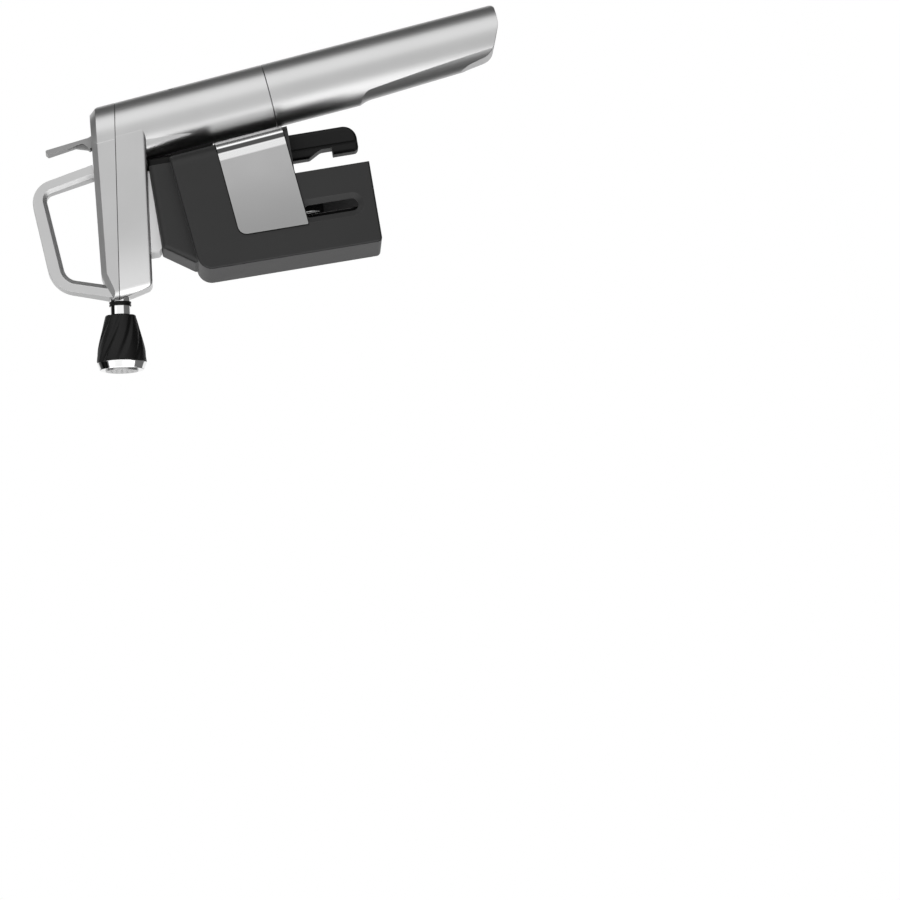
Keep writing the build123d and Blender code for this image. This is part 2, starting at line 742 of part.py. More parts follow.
def regulator_piston():
    """Piston above the gas inlet."""
    low = regulator_foot + regulator_floor + shell_gap
    seat = piston_radius - piston_wall
    return HANDLE * turned((0, low, 0), (piston_radius, low, 0), (piston_radius, low + piston_height, 0.5),
                           (seat, low + piston_height, 0), (seat, low + piston_height / 2, 0),
                           (0, low + piston_height / 2, 0))


def regulator_spring():
    """Spring between the piston and the regulator's cap."""
    low = regulator_foot + regulator_floor + 2 * shell_gap + piston_height / 2
    height = regulator_top - regulator_cap - shell_gap - low
    radius = piston_radius - piston_wall - 2 * spring_wire
    return HANDLE * coil(radius, spring_wire, low, height, regulator_spring_turns)


def regulator_lid():
    """Cap that closes the regulator under the valve."""
    return HANDLE * tube(regulator_bore - shell_gap, regulator_port, regulator_top - regulator_cap, regulator_top)


def piercing_pin():
    """Hollow pin that opens the capsule."""
    top = regulator_foot + regulator_floor - 1
    tip = capsule_top - pierce_depth
    pin = turned((0, tip, 0), (pierce_radius, tip + pierce_point, 0),
                 (pierce_radius, top, 0), (0, top, 0))
    return HANDLE * pin


def capsule_gasket():
    """Gasket between the capsule's neck and the regulator."""
    low = capsule_top + shell_gap
    return HANDLE * tube(capsule_neck_radius, pierce_radius + pierce_gap, low, low + gasket_thickness)


def valve_body():
    """Gas valve on top of the regulator."""
    bore = stem_radius + trigger_pin_gap
    body = turned((0, valve_foot, 0), (valve_radius, valve_foot, 0), (valve_radius, valve_top, 0.8),
                  (bore, valve_top, 0), (bore, valve_foot + valve_floor, 0), (0, valve_foot + valve_floor, 0))
    return HANDLE * Pos(valve_offset, 0, 0) * body


def valve_stem():
    """Stem with a domed head under the trigger's toe."""
    neck = stem_top - stem_dome
    foot, brim = valve_foot + valve_chamber, neck + stem_head
    stem = turned((0, foot, 0), (stem_radius, foot, 0.4), (stem_radius, neck, 0),
                  (stem_dome, neck, 0), (stem_dome, brim, 0), (0, brim, 0))
    dome = Pos(0, 0, brim) * (Sphere(stem_dome - stem_head) & block((-far, far), (-far, far), (0, far)))
    return HANDLE * Pos(valve_offset, 0, 0) * (stem + dome)


def valve_spring():
    """Return spring under the stem's head."""
    height = stem_top - stem_dome - valve_top - 2 * shell_gap
    radius = stem_radius + 2 * valve_spring_wire
    spring = coil(radius, valve_spring_wire, valve_top + shell_gap, height, valve_spring_turns)
    return HANDLE * Pos(valve_offset, 0, 0) * spring


def trigger():
    """Trigger: a tab above the cover, a hub on the pin and a toe over the valve."""
    pivot = trigger_pivot()
    x, z = pivot.origin.X, pivot.origin.Z
    tip_front = trigger_tip_height - trigger_pad_drop
    tab = outline((trigger_root_back, trigger_root_height, 0), (trigger_tip_back, trigger_tip_height, 0.7),
                  (trigger_tip_front, tip_front, 0.7), (trigger_pad_front, trigger_pad_height, 1.5),
                  (trigger_root_front, trigger_root_height, 0), (x + trigger_hub, z, 0), (x - trigger_hub, z, 0))
    rib = outline((trigger_pad_front - 1, trigger_pad_height, 0), (trigger_tip_front - 1, tip_front - 2, 0),
                  (trigger_rib_front, trigger_rib_height, 0), (trigger_root_front, trigger_root_height, 0))
    body = slab(SIDE, tab, trigger_half_width) + slab(SIDE, rib, trigger_rib_half_width)
    body += pivot * rod(trigger_hub, -trigger_half_width, trigger_half_width)
    reach = valve_offset + stem_dome
    tip, root = toe_under + trigger_toe_tip, toe_under + trigger_toe_root
    toe = outline((-trigger_pivot_back, toe_under, 0), (reach, toe_under, 0), (reach, tip, 1),
                  (1, root, 0), (-trigger_pivot_back, root, 0))
    body += slab(HANDLE_SIDE, toe, trigger_toe_half_width)
    return body - pivot * rod(trigger_pin_radius + trigger_pin_gap, -far, far)


def trigger_pin():
    """Pin across the handle's sleeve."""
    reach = handle_radius - trigger_pin_short - shell_gap
    return trigger_pivot() * rod(trigger_pin_radius, -reach, reach)


# ---- Capsule cup ----
def grip_shape():
    """Wide round shape, leaning against the handle, that leaves the finger cut in the cup."""
    radius, start = grip_cut_radius, -grip_cut_start - grip_cut_runout
    rim = radius + grip_cut_rise
    shape = turned((0, -far, 0), (radius, -far, 0), (radius, start, grip_cut_round), (rim, -grip_cut_start, 0),
                   (rim + far, -grip_cut_start, 0), (rim + far, 1, 0), (0, 1, 0))
    lean = Pos(0, 0, start) * Rot(0, grip_cut_lean, 0) * Pos(0, 0, -start)
    return Pos(handle_radius - grip_cut_depth - radius, 0, 0) * lean * shape


def capsule_cup():
    """Lower half of the handle, which holds the capsule and screws into the sleeve."""
    back = -handle_radius - shell_gap
    side = outline((back, 1, 0), (back, -cup_length, cup_back_round),
                   (-cup_slant_start, cup_slant_foot - cup_length, 12),
                   (cup_slant_front, cup_slant_rise - cup_length, 8),
                   (cup_toe_front, cup_toe_rise - cup_length, 12),
                   (2 * handle_radius, -grip_cut_start, 0), (2 * handle_radius, 1, 0))
    stock = rod(handle_radius, -cup_length - 1, -cup_joint_gap) & grip_shape()
    cup = HANDLE * stock & slab(HANDLE_SIDE, side, far)
    cup += HANDLE * rod(cup_nose_radius, -1, cup_nose_height)
    cup -= HANDLE * rod(cup_bore, seat_foot - shell_gap, far)
    cup -= HANDLE * rod(cup_light_bore, cup_end_wall - cup_length, 0)
    groove = cup_seal_radius - cup_seal_wire - shell_gap
    width = 2.4 * cup_seal_wire
    return cup - HANDLE * tube(far / 10, groove, cup_seal_height - width / 2, cup_seal_height + width / 2)


def cup_seal():
    """Seal ring on the cup's nose."""
    return HANDLE * Pos(0, 0, cup_seal_height) * Torus(cup_seal_radius, cup_seal_wire)


def capsule_seat():
    """Rubber seat under the capsule."""
    return HANDLE * tube(capsule_radius, cup_light_bore - 2, seat_foot, capsule_foot - shell_gap)


def gas_capsule():
    """Steel gas capsule, its neck pierced."""
    top, foot, wall = capsule_top, capsule_foot, capsule_wall
    hole = pierce_radius + pierce_gap
    neck = top - capsule_neck_length
    shoulder = neck - capsule_shoulder
    body = turned((0, foot, 0), (capsule_radius, foot, 5), (capsule_radius, shoulder, 5),
                  (capsule_neck_radius, neck, 2), (capsule_neck_radius, top, 0.5), (hole, top, 0),
                  (hole, top - pierce_depth - 1, 0), (capsule_neck_radius - wall, top - pierce_depth - 1, 0),
                  (capsule_neck_radius - wall, neck - wall / 2, 0), (capsule_radius - wall, shoulder - wall / 2, 3),
                  (capsule_radius - wall, foot + wall, 3), (0, foot + wall, 0))
    return HANDLE * body


# ---- Aerator ----
def flare(along):
    """Outer radius of the aerator at a place along it."""
    mid, foot = aerator_mid, aerator_widest
    if along < mid:
        share = along / mid
        return aerator_top_radius + (aerator_mid_radius - aerator_top_radius) * share
    share = (along - mid) / (foot - mid)
    return aerator_mid_radius + (aerator_foot_radius - aerator_mid_radius) * share


def aerator_body():
    """Flared body with twisted flutes round it."""
    start, end = aerator_start, aerator_start + aerator_length
    socket = spout_plug_radius + aerator_socket_gap
    wall = aerator_wall
    body = turned((socket, start, 0), (aerator_top_radius, start, 1.4),
                  (aerator_mid_radius, start + aerator_mid, 12), (aerator_foot_radius, start + aerator_widest, 0.8),
                  (aerator_foot_radius, end, 0.3), (aerator_foot_radius - wall, end, 0),
                  (aerator_foot_radius - wall, start + aerator_widest, 0),
                  (socket + 1, start + aerator_socket_depth, 0), (socket, start + aerator_socket_depth, 0))
    points = []
    for step in range(5):
        along = flute_start + (aerator_length - flute_start) * step / 4
        angle = math.radians(flute_twist) * step / 4
        radius = flare(along) + flute_radius - flute_bite
        points.append((radius * math.cos(angle), radius * math.sin(angle), start + along))
    path = Spline(*points)
    cutter = sweep(Plane(origin=path @ 0, z_dir=path % 0) * Circle(flute_radius), path=path)
    for index in range(flute_count):
        body -= Rot(0, 0, 360 * index / flute_count) * cutter
    return SPOUT * body


def aerator_ring():
    """Chrome ring at the aerator's foot."""
    top = aerator_start + aerator_length + shell_gap
    foot = top + aerator_ring_length
    lip = foot - shower_thickness + shower_proud
    seat = aerator_foot_radius - aerator_wall
    return SPOUT * turned((seat, top, 0), (aerator_foot_radius, top, 0.3), (aerator_ring_foot_radius, foot, 0.3),
                          (shower_radius + shell_gap, foot, 0), (shower_radius + shell_gap, lip, 0), (seat, lip, 0))


def shower_plate():
    """Perforated plate through which the wine falls."""
    foot = aerator_start + aerator_length + aerator_ring_length + shell_gap
    lip = foot - shower_thickness + shower_proud - shell_gap
    rim = aerator_foot_radius - aerator_wall - shell_gap
    plate = rod(shower_radius, lip - 0.2, foot + shower_proud) + rod(rim, lip - 0.9, lip)
    for ring, count in enumerate(shower_hole_counts):
        for index in range(count):
            hole = Pos(ring * shower_ring_pitch, 0, 0) * rod(shower_hole, 0, far)
            plate -= Rot(0, 0, 360 * index / count) * hole
    return SPOUT * plate


def aerator_gasket():
    """Gasket above the shower plate."""
    low = aerator_start + aerator_length + 2 * shell_gap
    foot = aerator_start + aerator_length + aerator_ring_length + shell_gap
    high = foot - shower_thickness + shower_proud - 0.9 - 2 * shell_gap
    rim = aerator_foot_radius - aerator_wall - shell_gap
    return SPOUT * tube(rim, rim - 1.2, low, high)


# ---- Clamp housing ----
def clamp_block(grow):
    """Housing's main shape, or the same grown outwards at the sides and back."""
    top, step = clamp_shoulder_back, -clamp_step_depth
    side = outline((clamp_rear(top) - grow, top, 0), (clamp_front, clamp_shoulder_front, clamp_top_round),
                   (clamp_front, -clamp_depth, clamp_foot_round), (-clamp_low_back, -clamp_depth, 0),
                   (-clamp_low_back, step, 0), (clamp_rear(step) - grow, step, 0))
    body = slab(SIDE, side, clamp_half_width + grow)
    back = body.edges().filter_by(lambda edge: (edge @ 0.5).X < clamp_rear(top) + 0.1
                                  and abs((edge @ 0.5).Y) > clamp_half_width - 0.1)
    return fillet(back, clamp_rear_round + grow)


def collar_block():
    """Narrower collar on top of the housing."""
    side = outline((-collar_back, 0, 0), (-collar_back, collar_height, 0), (collar_front, collar_height, 1),
                   (collar_nose, collar_nose_height, 0), (collar_nose, 0, 0))
    collar = slab(SIDE, side, collar_half_width)
    edges = collar.edges().filter_by(lambda edge: (edge @ 0.5).Z > collar_nose_height
                                     and abs((edge @ 0.5).Y) > collar_half_width - 0.1
                                     and (edge @ 0.5).X > -collar_back + 1)
    return fillet(edges, collar_round)


def window_cut():
    """Slot window with a bevelled edge, through one side of the housing."""
    length = window_foot - window_head
    centre = (window_centre, -(window_foot + window_head) / 2)
    slot = Pos(*centre) * Rot(0, 0, 90) * SlotOverall(length, window_height)
    wide = Pos(*centre) * Rot(0, 0, 90) * SlotOverall(length + 2 * window_bevel, window_height + 2 * window_bevel)
    inner = Plane.XZ.offset(-(clamp_half_width - window_bevel_depth))
    outer = Plane.XZ.offset(-(clamp_half_width + 0.01))
    bevel = loft([inner * slot, outer * wide])
    through = extrude(Plane.XZ.offset(-(clamp_half_width + 1)) * slot, amount=clamp_wall + 2)
    return bevel + through


def clamp_housing():
    """Housing over the bottle's neck, with the collar and the rail's channel."""
    body = clamp_block(0)
    stock = clamp_block(0)
    front = body.edges().filter_by(lambda edge: (edge @ 0.5).X > clamp_low_back / 2
                                   and abs((edge @ 0.5).Y) > clamp_half_width - 0.1)
    body = fillet(front, clamp_edge_round)
    inside = outline((clamp_front - clamp_wall, -far, 0), (clamp_front - clamp_wall, 0, 2),
                     (clamp_rear(0) + clamp_wall, 0, 0),
                     (clamp_rear(-clamp_step_depth) + clamp_wall, -clamp_step_depth, 0),
                     (clamp_rear(-clamp_step_depth) + clamp_wall, -far, 0))
    body -= slab(SIDE, inside, clamp_half_width - clamp_wall)
    walls = channel_half + liner_wall
    channel = block((-far, channel_front + liner_wall), (-walls, walls), (-clamp_step_depth, 1)) & stock
    body = body + channel + collar_block()
    shelf = block((-jaw_pin_back - jaw_knuckle, -jaw_pin_back + jaw_knuckle),
                  (jaw_pin_side - jaw_knuckle, clamp_half_width - 1),
                  (-clamp_step_depth, jaw_shelf - clamp_step_depth))
    body = body + shelf + mirrored(shelf)
    body -= block((-far, channel_front), (-channel_half, channel_half), (-far, far))
    for side in (-jaw_pin_side, jaw_pin_side):
        body -= Pos(-jaw_pin_back, side, 0) * rod(jaw_pin_radius + shell_gap / 2, -far, jaw_pin_top)
    body -= rod(mouth_pad_radius + shell_gap, -1, mouth_pad_thickness + shell_gap)
    body -= rod(guide_radius + shell_gap, -1, far)
    body -= rod(guide_flange_radius + shell_gap, collar_height - guide_top_gap - guide_flange - shell_gap, far)
    window = window_cut()
    return body - window - mirrored(window)


def trim_plate():
    """Bent plate on one side of the housing, round its back corner."""
    skin = clamp_block(trim_thickness + shell_gap) - clamp_block(shell_gap)
    back = clamp_rear(trim_top_back) - 3 * trim_thickness
    slope_top = (trim_top_front - trim_top_back) / (trim_front - clamp_rear(trim_top_back))
    slope_foot = (trim_foot_front - trim_foot_back) / (trim_front - clamp_rear(trim_foot_back))
    low_back = clamp_rear(trim_foot_back) - 3 * trim_thickness
    side = outline((back, trim_top_back - 3 * trim_thickness * slope_top, 0),
                   (trim_front, trim_top_front, trim_corner_round), (trim_front, trim_foot_front, 0.6),
                   (low_back, trim_foot_back - 3 * trim_thickness * slope_foot, 0))
    plate = skin & slab(SIDE, side, far)
    return plate & block((-far, far), (trim_rail_clear, far), (-far, far))


def needle_guide():
    """Flanged bush that guides the needle."""
    bore = needle_sleeve_radius + guide_bore_gap
    low, top = mouth_pad_thickness + 2 * shell_gap, collar_height - guide_top_gap
    return turned((bore, low, 0), (guide_radius, low, 0), (guide_radius, top - guide_flange, 0),
                  (guide_flange_radius, top - guide_flange, 0), (guide_flange_radius, top, 0.4), (bore, top, 0.5))


def mouth_pad():
    """Rubber pad that rests on the bottle's mouth."""
    return tube(mouth_pad_radius, mouth_pad_bore, 0, mouth_pad_thickness)


def rail_liner():
    """Slide liner in one side of the rail's channel, with a rib in the rail's groove."""
    low, top = -clamp_step_depth + 0.5, collar_height - 0.5
    inner = rail_half_width + rail_gap
    plate = block((0.5 - collar_back, channel_front - shell_gap), (inner, channel_half - shell_gap), (low, top))
    half = rail_groove_width / 2 - rail_gap
    tip = rail_half_width - rail_groove_depth + rail_gap
    return plate + block((-rail_groove - half, -rail_groove + half), (tip, inner + 0.1), (low, top))


# ---- Jaws ----
def sector(radius, bore, low, high):
    """Part of a tube round the neck, on the left side, between the jaw's end angles."""
    angles = [jaw_front_angle, 90, jaw_back_angle]
    reach = 3 * radius
    points = [(0, 0)] + [(reach * math.cos(math.radians(a)), reach * math.sin(math.radians(a))) for a in angles]
    wedge = extrude(make_face(Polyline(*points, close=True)), amount=high - low)
    return tube(radius, bore, low, high) & Pos(0, 0, low) * wedge


def jaw_knuckles():
    """Height ranges of the two knuckles on a jaw's pin."""
    gap = jaw_knuckle_gap
    return [(-jaw_spring_top + gap, -jaw_top - gap),
            (-clamp_step_depth + jaw_shelf + gap, -jaw_spring_top - jaw_spring_height - gap)]


def jaw():
    """Left jaw: a curved plate round the neck, hinged at the back."""
    body = sector(jaw_outer, jaw_inner, -jaw_foot, -jaw_top)
    slot = block((-jaw_slot_back, jaw_slot_front), (0, far), (-jaw_slot_foot, -jaw_slot_head))
    body -= slot
    angle = math.radians(jaw_back_angle - 4)
    middle = (jaw_inner + jaw_outer) / 2
    end = Vector(middle * math.cos(angle), middle * math.sin(angle))
    pin = Vector(-jaw_pin_back, jaw_pin_side)
    across = (pin - end).normalized().rotate(Axis.Z, 90) * (jaw_link_width / 2)
    link = make_face(Polyline(end + across, pin + across, pin - across, end - across, close=True))
    for low, high in jaw_knuckles():
        body += Pos(0, 0, low) * extrude(link, amount=high - low)
        body += Pos(pin) * rod(jaw_knuckle, low, high)
    body -= rod(jaw_inner, -far, 0)
    return body - Pos(pin) * rod(jaw_pin_radius + jaw_pin_gap, -far, 0)


def grip_pad():
    """Rubber pad on the left jaw."""
    pad = sector(jaw_inner - shell_gap, grip_radius, -pad_foot, -pad_top)
    return pad - block((-jaw_slot_back, jaw_slot_front), (0, far), (-jaw_slot_foot, 0))


def jaw_pin():
    """Hinge pin of the left jaw."""
    return Pos(-jaw_pin_back, jaw_pin_side, 0) * rod(jaw_pin_radius, -clamp_step_depth, jaw_pin_top - 0.1)


def jaw_spring():
    """Torsion spring round the left pin."""
    low = -jaw_spring_top - jaw_spring_height
    radius = jaw_knuckle - 3 * spring_wire / 2
    return Pos(-jaw_pin_back, jaw_pin_side, 0) * coil(radius, spring_wire / 2, low, jaw_spring_height, jaw_spring_turns)


# ---- All pieces ----
pieces = {
    "body_casting": body_casting(), "top_cover": top_cover(), "cover_screws": cover_screws(),
    "rest_foot": rest_foot(), "guide_rail": guide_rail(), "rail_screws": rail_screws(),
    "needle": needle(), "needle_hub": needle_hub(), "needle_seal": needle_seal(),
    "manifold_block": manifold_block(), "spout_tube": spout_tube(), "spout_seal": spout_seal(),
    "spout_ring": spout_ring(), "gas_tube": gas_tube(), "regulator_body": regulator_body(),
    "regulator_piston": regulator_piston(), "regulator_spring": regulator_spring(),
    "regulator_lid": regulator_lid(), "piercing_pin": piercing_pin(), "capsule_gasket": capsule_gasket(),
    "valve_body": valve_body(), "valve_stem": valve_stem(), "valve_spring": valve_spring(),
    "trigger": trigger(), "trigger_pin": trigger_pin(), "capsule_cup": capsule_cup(),
    "cup_seal": cup_seal(), "capsule_seat": capsule_seat(), "gas_capsule": gas_capsule(),
    "aerator_body": aerator_body(), "aerator_ring": aerator_ring(), "shower_plate": shower_plate(),
    "aerator_gasket": aerator_gasket(), "clamp_housing": clamp_housing(), "needle_guide": needle_guide(),
    "mouth_pad": mouth_pad(),
}
for name, left in (("trim_plate", trim_plate()), ("rail_liner", rail_liner()), ("jaw", jaw()),
                   ("grip_pad", grip_pad()), ("jaw_pin", jaw_pin()), ("jaw_spring", jaw_spring())):
    pieces[name + "_left"] = left
    pieces[name + "_right"] = mirrored(left)

os.makedirs("parts", exist_ok=True)
for name, piece in pieces.items():
    solids = piece if isinstance(piece, list) else [piece]
    export_step(Compound(children=[solid for part in solids for solid in part.solids()]), f"parts/{name}.step")
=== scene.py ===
"""Looks of a hand-held wine preservation dispenser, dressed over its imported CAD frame.

Metres. +Z runs up along the needle, +X towards the spout and +Y to the left. The origin is the centre
of the bottle's mouth. The head is pushed down on the clamp.
"""
import json
import logging
import math
from contextlib import contextmanager
from dataclasses import dataclass, field
from enum import Enum
from typing import Any, Callable, Iterator

import bpy
from mathutils import Matrix, Vector

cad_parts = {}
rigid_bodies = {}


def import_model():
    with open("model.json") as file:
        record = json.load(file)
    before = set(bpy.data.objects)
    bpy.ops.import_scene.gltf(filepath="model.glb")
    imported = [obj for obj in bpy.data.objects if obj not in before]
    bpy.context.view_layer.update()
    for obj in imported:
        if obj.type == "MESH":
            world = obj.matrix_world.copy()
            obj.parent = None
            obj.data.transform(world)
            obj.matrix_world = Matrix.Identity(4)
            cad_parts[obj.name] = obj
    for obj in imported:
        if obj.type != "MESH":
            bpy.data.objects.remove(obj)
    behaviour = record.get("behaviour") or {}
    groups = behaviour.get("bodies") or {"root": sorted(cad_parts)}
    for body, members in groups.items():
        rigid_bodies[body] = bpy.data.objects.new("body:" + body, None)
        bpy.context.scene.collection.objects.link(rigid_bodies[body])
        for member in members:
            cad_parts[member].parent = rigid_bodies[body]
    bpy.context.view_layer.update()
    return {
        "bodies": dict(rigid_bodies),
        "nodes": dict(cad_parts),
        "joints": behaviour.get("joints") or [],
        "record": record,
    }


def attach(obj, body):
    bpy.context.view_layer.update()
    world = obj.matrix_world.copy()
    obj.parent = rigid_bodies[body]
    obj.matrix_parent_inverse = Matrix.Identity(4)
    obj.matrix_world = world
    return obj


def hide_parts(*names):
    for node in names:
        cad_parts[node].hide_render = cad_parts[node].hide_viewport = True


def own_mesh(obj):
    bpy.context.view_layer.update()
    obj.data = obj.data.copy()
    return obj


log = logging.getLogger("dispenser")
MM = 0.001

# Places in the frame, in millimetres and degrees
SEAM_HEIGHT = 34.2           # joint of the two shells above the bottle's mouth, at the needle
ARM_RISE = 7.85              # of the arm and the spout towards +X
HANDLE_LEAN = 5.35           # of the handle and the housing's back from the needle's axis
HOUSING_BACK = -32.538       # x of the housing's back at the height of the mouth
HANDLE_PLACE = (-53.74, 0.0, -41.0)    # a point on the handle's axis


# ---- Shader maths ----
class Wire:
    """One output of a shader node, with operators that add the nodes they need."""

    def __init__(self, graph: "Graph", socket: bpy.types.NodeSocket) -> None:
        """Keeps the graph and the socket."""
        self.graph = graph
        self.socket = socket

    def _math(self, operation: str, first: Any, second: Any = None) -> "Wire":
        """Adds a Math node for one or two values."""
        values = {0: first} if second is None else {0: first, 1: second}
        return self.graph.node("ShaderNodeMath", {"operation": operation}, values)

    def __add__(self, other: Any) -> "Wire":
        """Sum."""
        return self._math("ADD", self, other)

    def __sub__(self, other: Any) -> "Wire":
        """Difference."""
        return self._math("SUBTRACT", self, other)

    def __rsub__(self, other: Any) -> "Wire":
        """Difference from a plain number."""
        return self._math("SUBTRACT", other, self)

    def __mul__(self, other: Any) -> "Wire":
        """Product."""
        return self._math("MULTIPLY", self, other)

    __radd__, __rmul__ = __add__, __mul__

    def degrees(self, operation: str, other: Any = None) -> "Wire":
        """Angle in degrees from an inverse function, such as ARCSINE or ARCTAN2."""
        return self._math(operation, self, other) * math.degrees(1)

    def ramp(self, low: float, high: float) -> "Wire":
        """Smooth step from 0 at one value to 1 at another.

        Args:
            low: Value at which the step starts.
            high: Value at which the step ends.

        Returns:
            The stepped value.
        """
        settings = {"interpolation_type": "SMOOTHSTEP"}
        return self.graph.node("ShaderNodeMapRange", settings, {"Value": self, "From Min": low, "From Max": high})

    def between(self, limits: tuple[float, float], soft: float) -> "Wire":
        """Smooth step up at one value and down at another.

        Args:
            limits: Values in the middle of the two steps.
            soft: Width of each step.

        Returns:
            The share, 1 between the steps.
        """
        (low, high), half = limits, soft / 2
        return self.ramp(low - half, low + half) * (1 - self.ramp(high - half, high + half))


class Graph:
    """Node tree of a material or of the world."""

    def __init__(self, owner: Any) -> None:
        """Empties the owner's tree.

        Args:
            owner: Material or world whose nodes are made.
        """
        owner.use_nodes = True
        self.tree = owner.node_tree
        self.tree.nodes.clear()

    def node(self, kind: str, settings: dict[str, Any], values: dict[Any, Any], out: Any = 0) -> Wire:
        """Adds a node.

        Args:
            kind: Type name of the node.
            settings: Properties of the node, set before its sockets.
            values: Numbers, tuples or wires by socket name or index.
            out: Name or index of the output that the wire stands for.

        Returns:
            The wire of that output.
        """
        made = self.tree.nodes.new(kind)
        for name, value in settings.items():
            setattr(made, name, value)
        for name, value in values.items():
            if isinstance(value, Wire):
                self.tree.links.new(value.socket, made.inputs[name])
            else:
                made.inputs[name].default_value = value
        return Wire(self, made.outputs[out] if made.outputs else None)

    def place(self) -> Wire:
        """Position on the piece, in metres."""
        return self.node("ShaderNodeTexCoord", {}, {}, "Object")

    def axes(self, vector: Wire) -> list[Wire]:
        """Splits a vector into its three parts."""
        first = self.node("ShaderNodeSeparateXYZ", {}, {0: vector})
        return [Wire(self, output) for output in first.socket.node.outputs]

    def stretched(self, vector: Wire, scale: tuple[float, float, float], turn: float = 0.0) -> Wire:
        """Position scaled along each axis.

        Args:
            vector: Position to scale.
            scale: Factor along each axis.
            turn: Turn about Y in degrees before the scaling.

        Returns:
            The scaled position.
        """
        turned = self.node("ShaderNodeVectorRotate", {"rotation_type": "Y_AXIS"},
                           {"Vector": vector, "Angle": math.radians(turn)})
        return self.node("ShaderNodeMapping", {"vector_type": "POINT"}, {"Vector": turned, "Scale": scale})

    def noise(self, vector: Wire, scale: float, detail: float = 2.0) -> Wire:
        """Cloudy pattern from 0 to 1."""
        return self.node("ShaderNodeTexNoise", {}, {"Vector": vector, "Scale": scale, "Detail": detail})

    def mixed(self, share: Wire, first: Any, second: Any) -> Wire:
        """Blend of two colours."""
        return self.node("ShaderNodeMix", {"data_type": "RGBA"}, {0: share, 6: first, 7: second}, 2)


def grey(value: float, warmth: float = 0.0) -> tuple[float, float, float, float]:
    """Nearly grey colour.

    Args:
        value: Brightness, linear.
        warmth: Share by which red stands over blue.

    Returns:
        The colour with full alpha.
    """
    return (value * (1 + warmth), value, value * (1 - warmth), 1.0)


# ---- Finishes ----
CLOUD_SCALE = 45.0           # clouds per metre
EDGE_SAMPLES = 6
WEAR_AND_HIGHLIGHT_TURN = (0.90, 0.995)    # cosine between softened and flat normal: edge fully rubbed and painted with highlight, edge untouched
GRAIN_HEIGHT = 0.2 * MM


@dataclass(frozen=True)
class Finish:
    """Surface of one material: colour with slight clouding, roughness, grain and softened edges."""

    name: str
    colour: float                # brightness, linear
    warmth: float = 0.0          # share by which red stands over blue
    clouding: float = 0.06       # share by which the colour changes from place to place
    metallic: float = 0.0
    roughness: float = 0.5
    roughness_change: float = 0.06
    grain: float = 2600.0        # grains per metre
    grain_depth: float = 0.02
    edge: float = 0.25 * MM      # radius of the softened edges
    specular: float = 0.5
    wear_and_edge_highlight: float = 0.0            # how much lighter the edges are, partly rubbed lighter and partly a painted highlight along them

    def pattern(self, graph: Graph, place: Wire) -> Wire:
        """Height pattern of the surface's grain."""
        return graph.noise(place, self.grain, 3.0)

    def shade(self, graph: Graph, colour: Wire, place: Wire) -> Wire:
        """Colour over the surface. Some finishes change it by place."""
        return colour

    def make(self) -> bpy.types.Material:
        """Builds the material.

        Returns:
            The material, ready for a piece.
        """
        material = bpy.data.materials.new(self.name)
        graph = Graph(material)
        place = graph.place()
        cloud = graph.noise(place, CLOUD_SCALE)
        height = self.pattern(graph, place)
        low, high = self.colour * (1 - self.clouding), self.colour * (1 + self.clouding)
        colour = graph.mixed(cloud.ramp(0.3, 0.7), grey(low, self.warmth), grey(high, self.warmth))
        rough = self.roughness + (height - 0.5) * self.roughness_change + (cloud - 0.5) * self.roughness_change
        soft = graph.node("ShaderNodeBevel", {"samples": EDGE_SAMPLES}, {"Radius": self.edge})
        colour = self.shade(graph, colour, place)
        # Lighter edges, patchy with the clouds: partly rubbed lighter, partly a painted highlight along the edges
        if self.wear_and_edge_highlight:
            flat = graph.node("ShaderNodeNewGeometry", {}, {}, "Normal")
            facing = graph.node("ShaderNodeVectorMath", {"operation": "DOT_PRODUCT"}, {0: soft, 1: flat}, "Value")
            wear_and_highlight = (1 - facing.ramp(*WEAR_AND_HIGHLIGHT_TURN)) * cloud.ramp(0.2, 0.8)
            colour = graph.mixed(wear_and_highlight, colour, grey(self.colour + self.wear_and_edge_highlight, self.warmth))
        bump = graph.node("ShaderNodeBump", {}, {"Strength": self.grain_depth, "Distance": GRAIN_HEIGHT,
                                                 "Height": height, "Normal": soft})
        shader = graph.node("ShaderNodeBsdfPrincipled", {}, {
            "Base Color": colour, "Metallic": self.metallic, "Roughness": rough,
            "Specular IOR Level": self.specular, "Normal": bump})
        graph.node("ShaderNodeOutputMaterial", {}, {"Surface": shader})
        return material


@dataclass(frozen=True)
class Brushed(Finish):
    """Metal with fine lines along one direction."""

    along: tuple[float, float, float] = (60.0, 60.0, 5200.0)
    turn: float = 0.0

    def pattern(self, graph: Graph, place: Wire) -> Wire:
        """Lines from a noise that is stretched along the brushing."""
        return graph.noise(graph.stretched(place, self.along, self.turn), 1.0, 2.0)


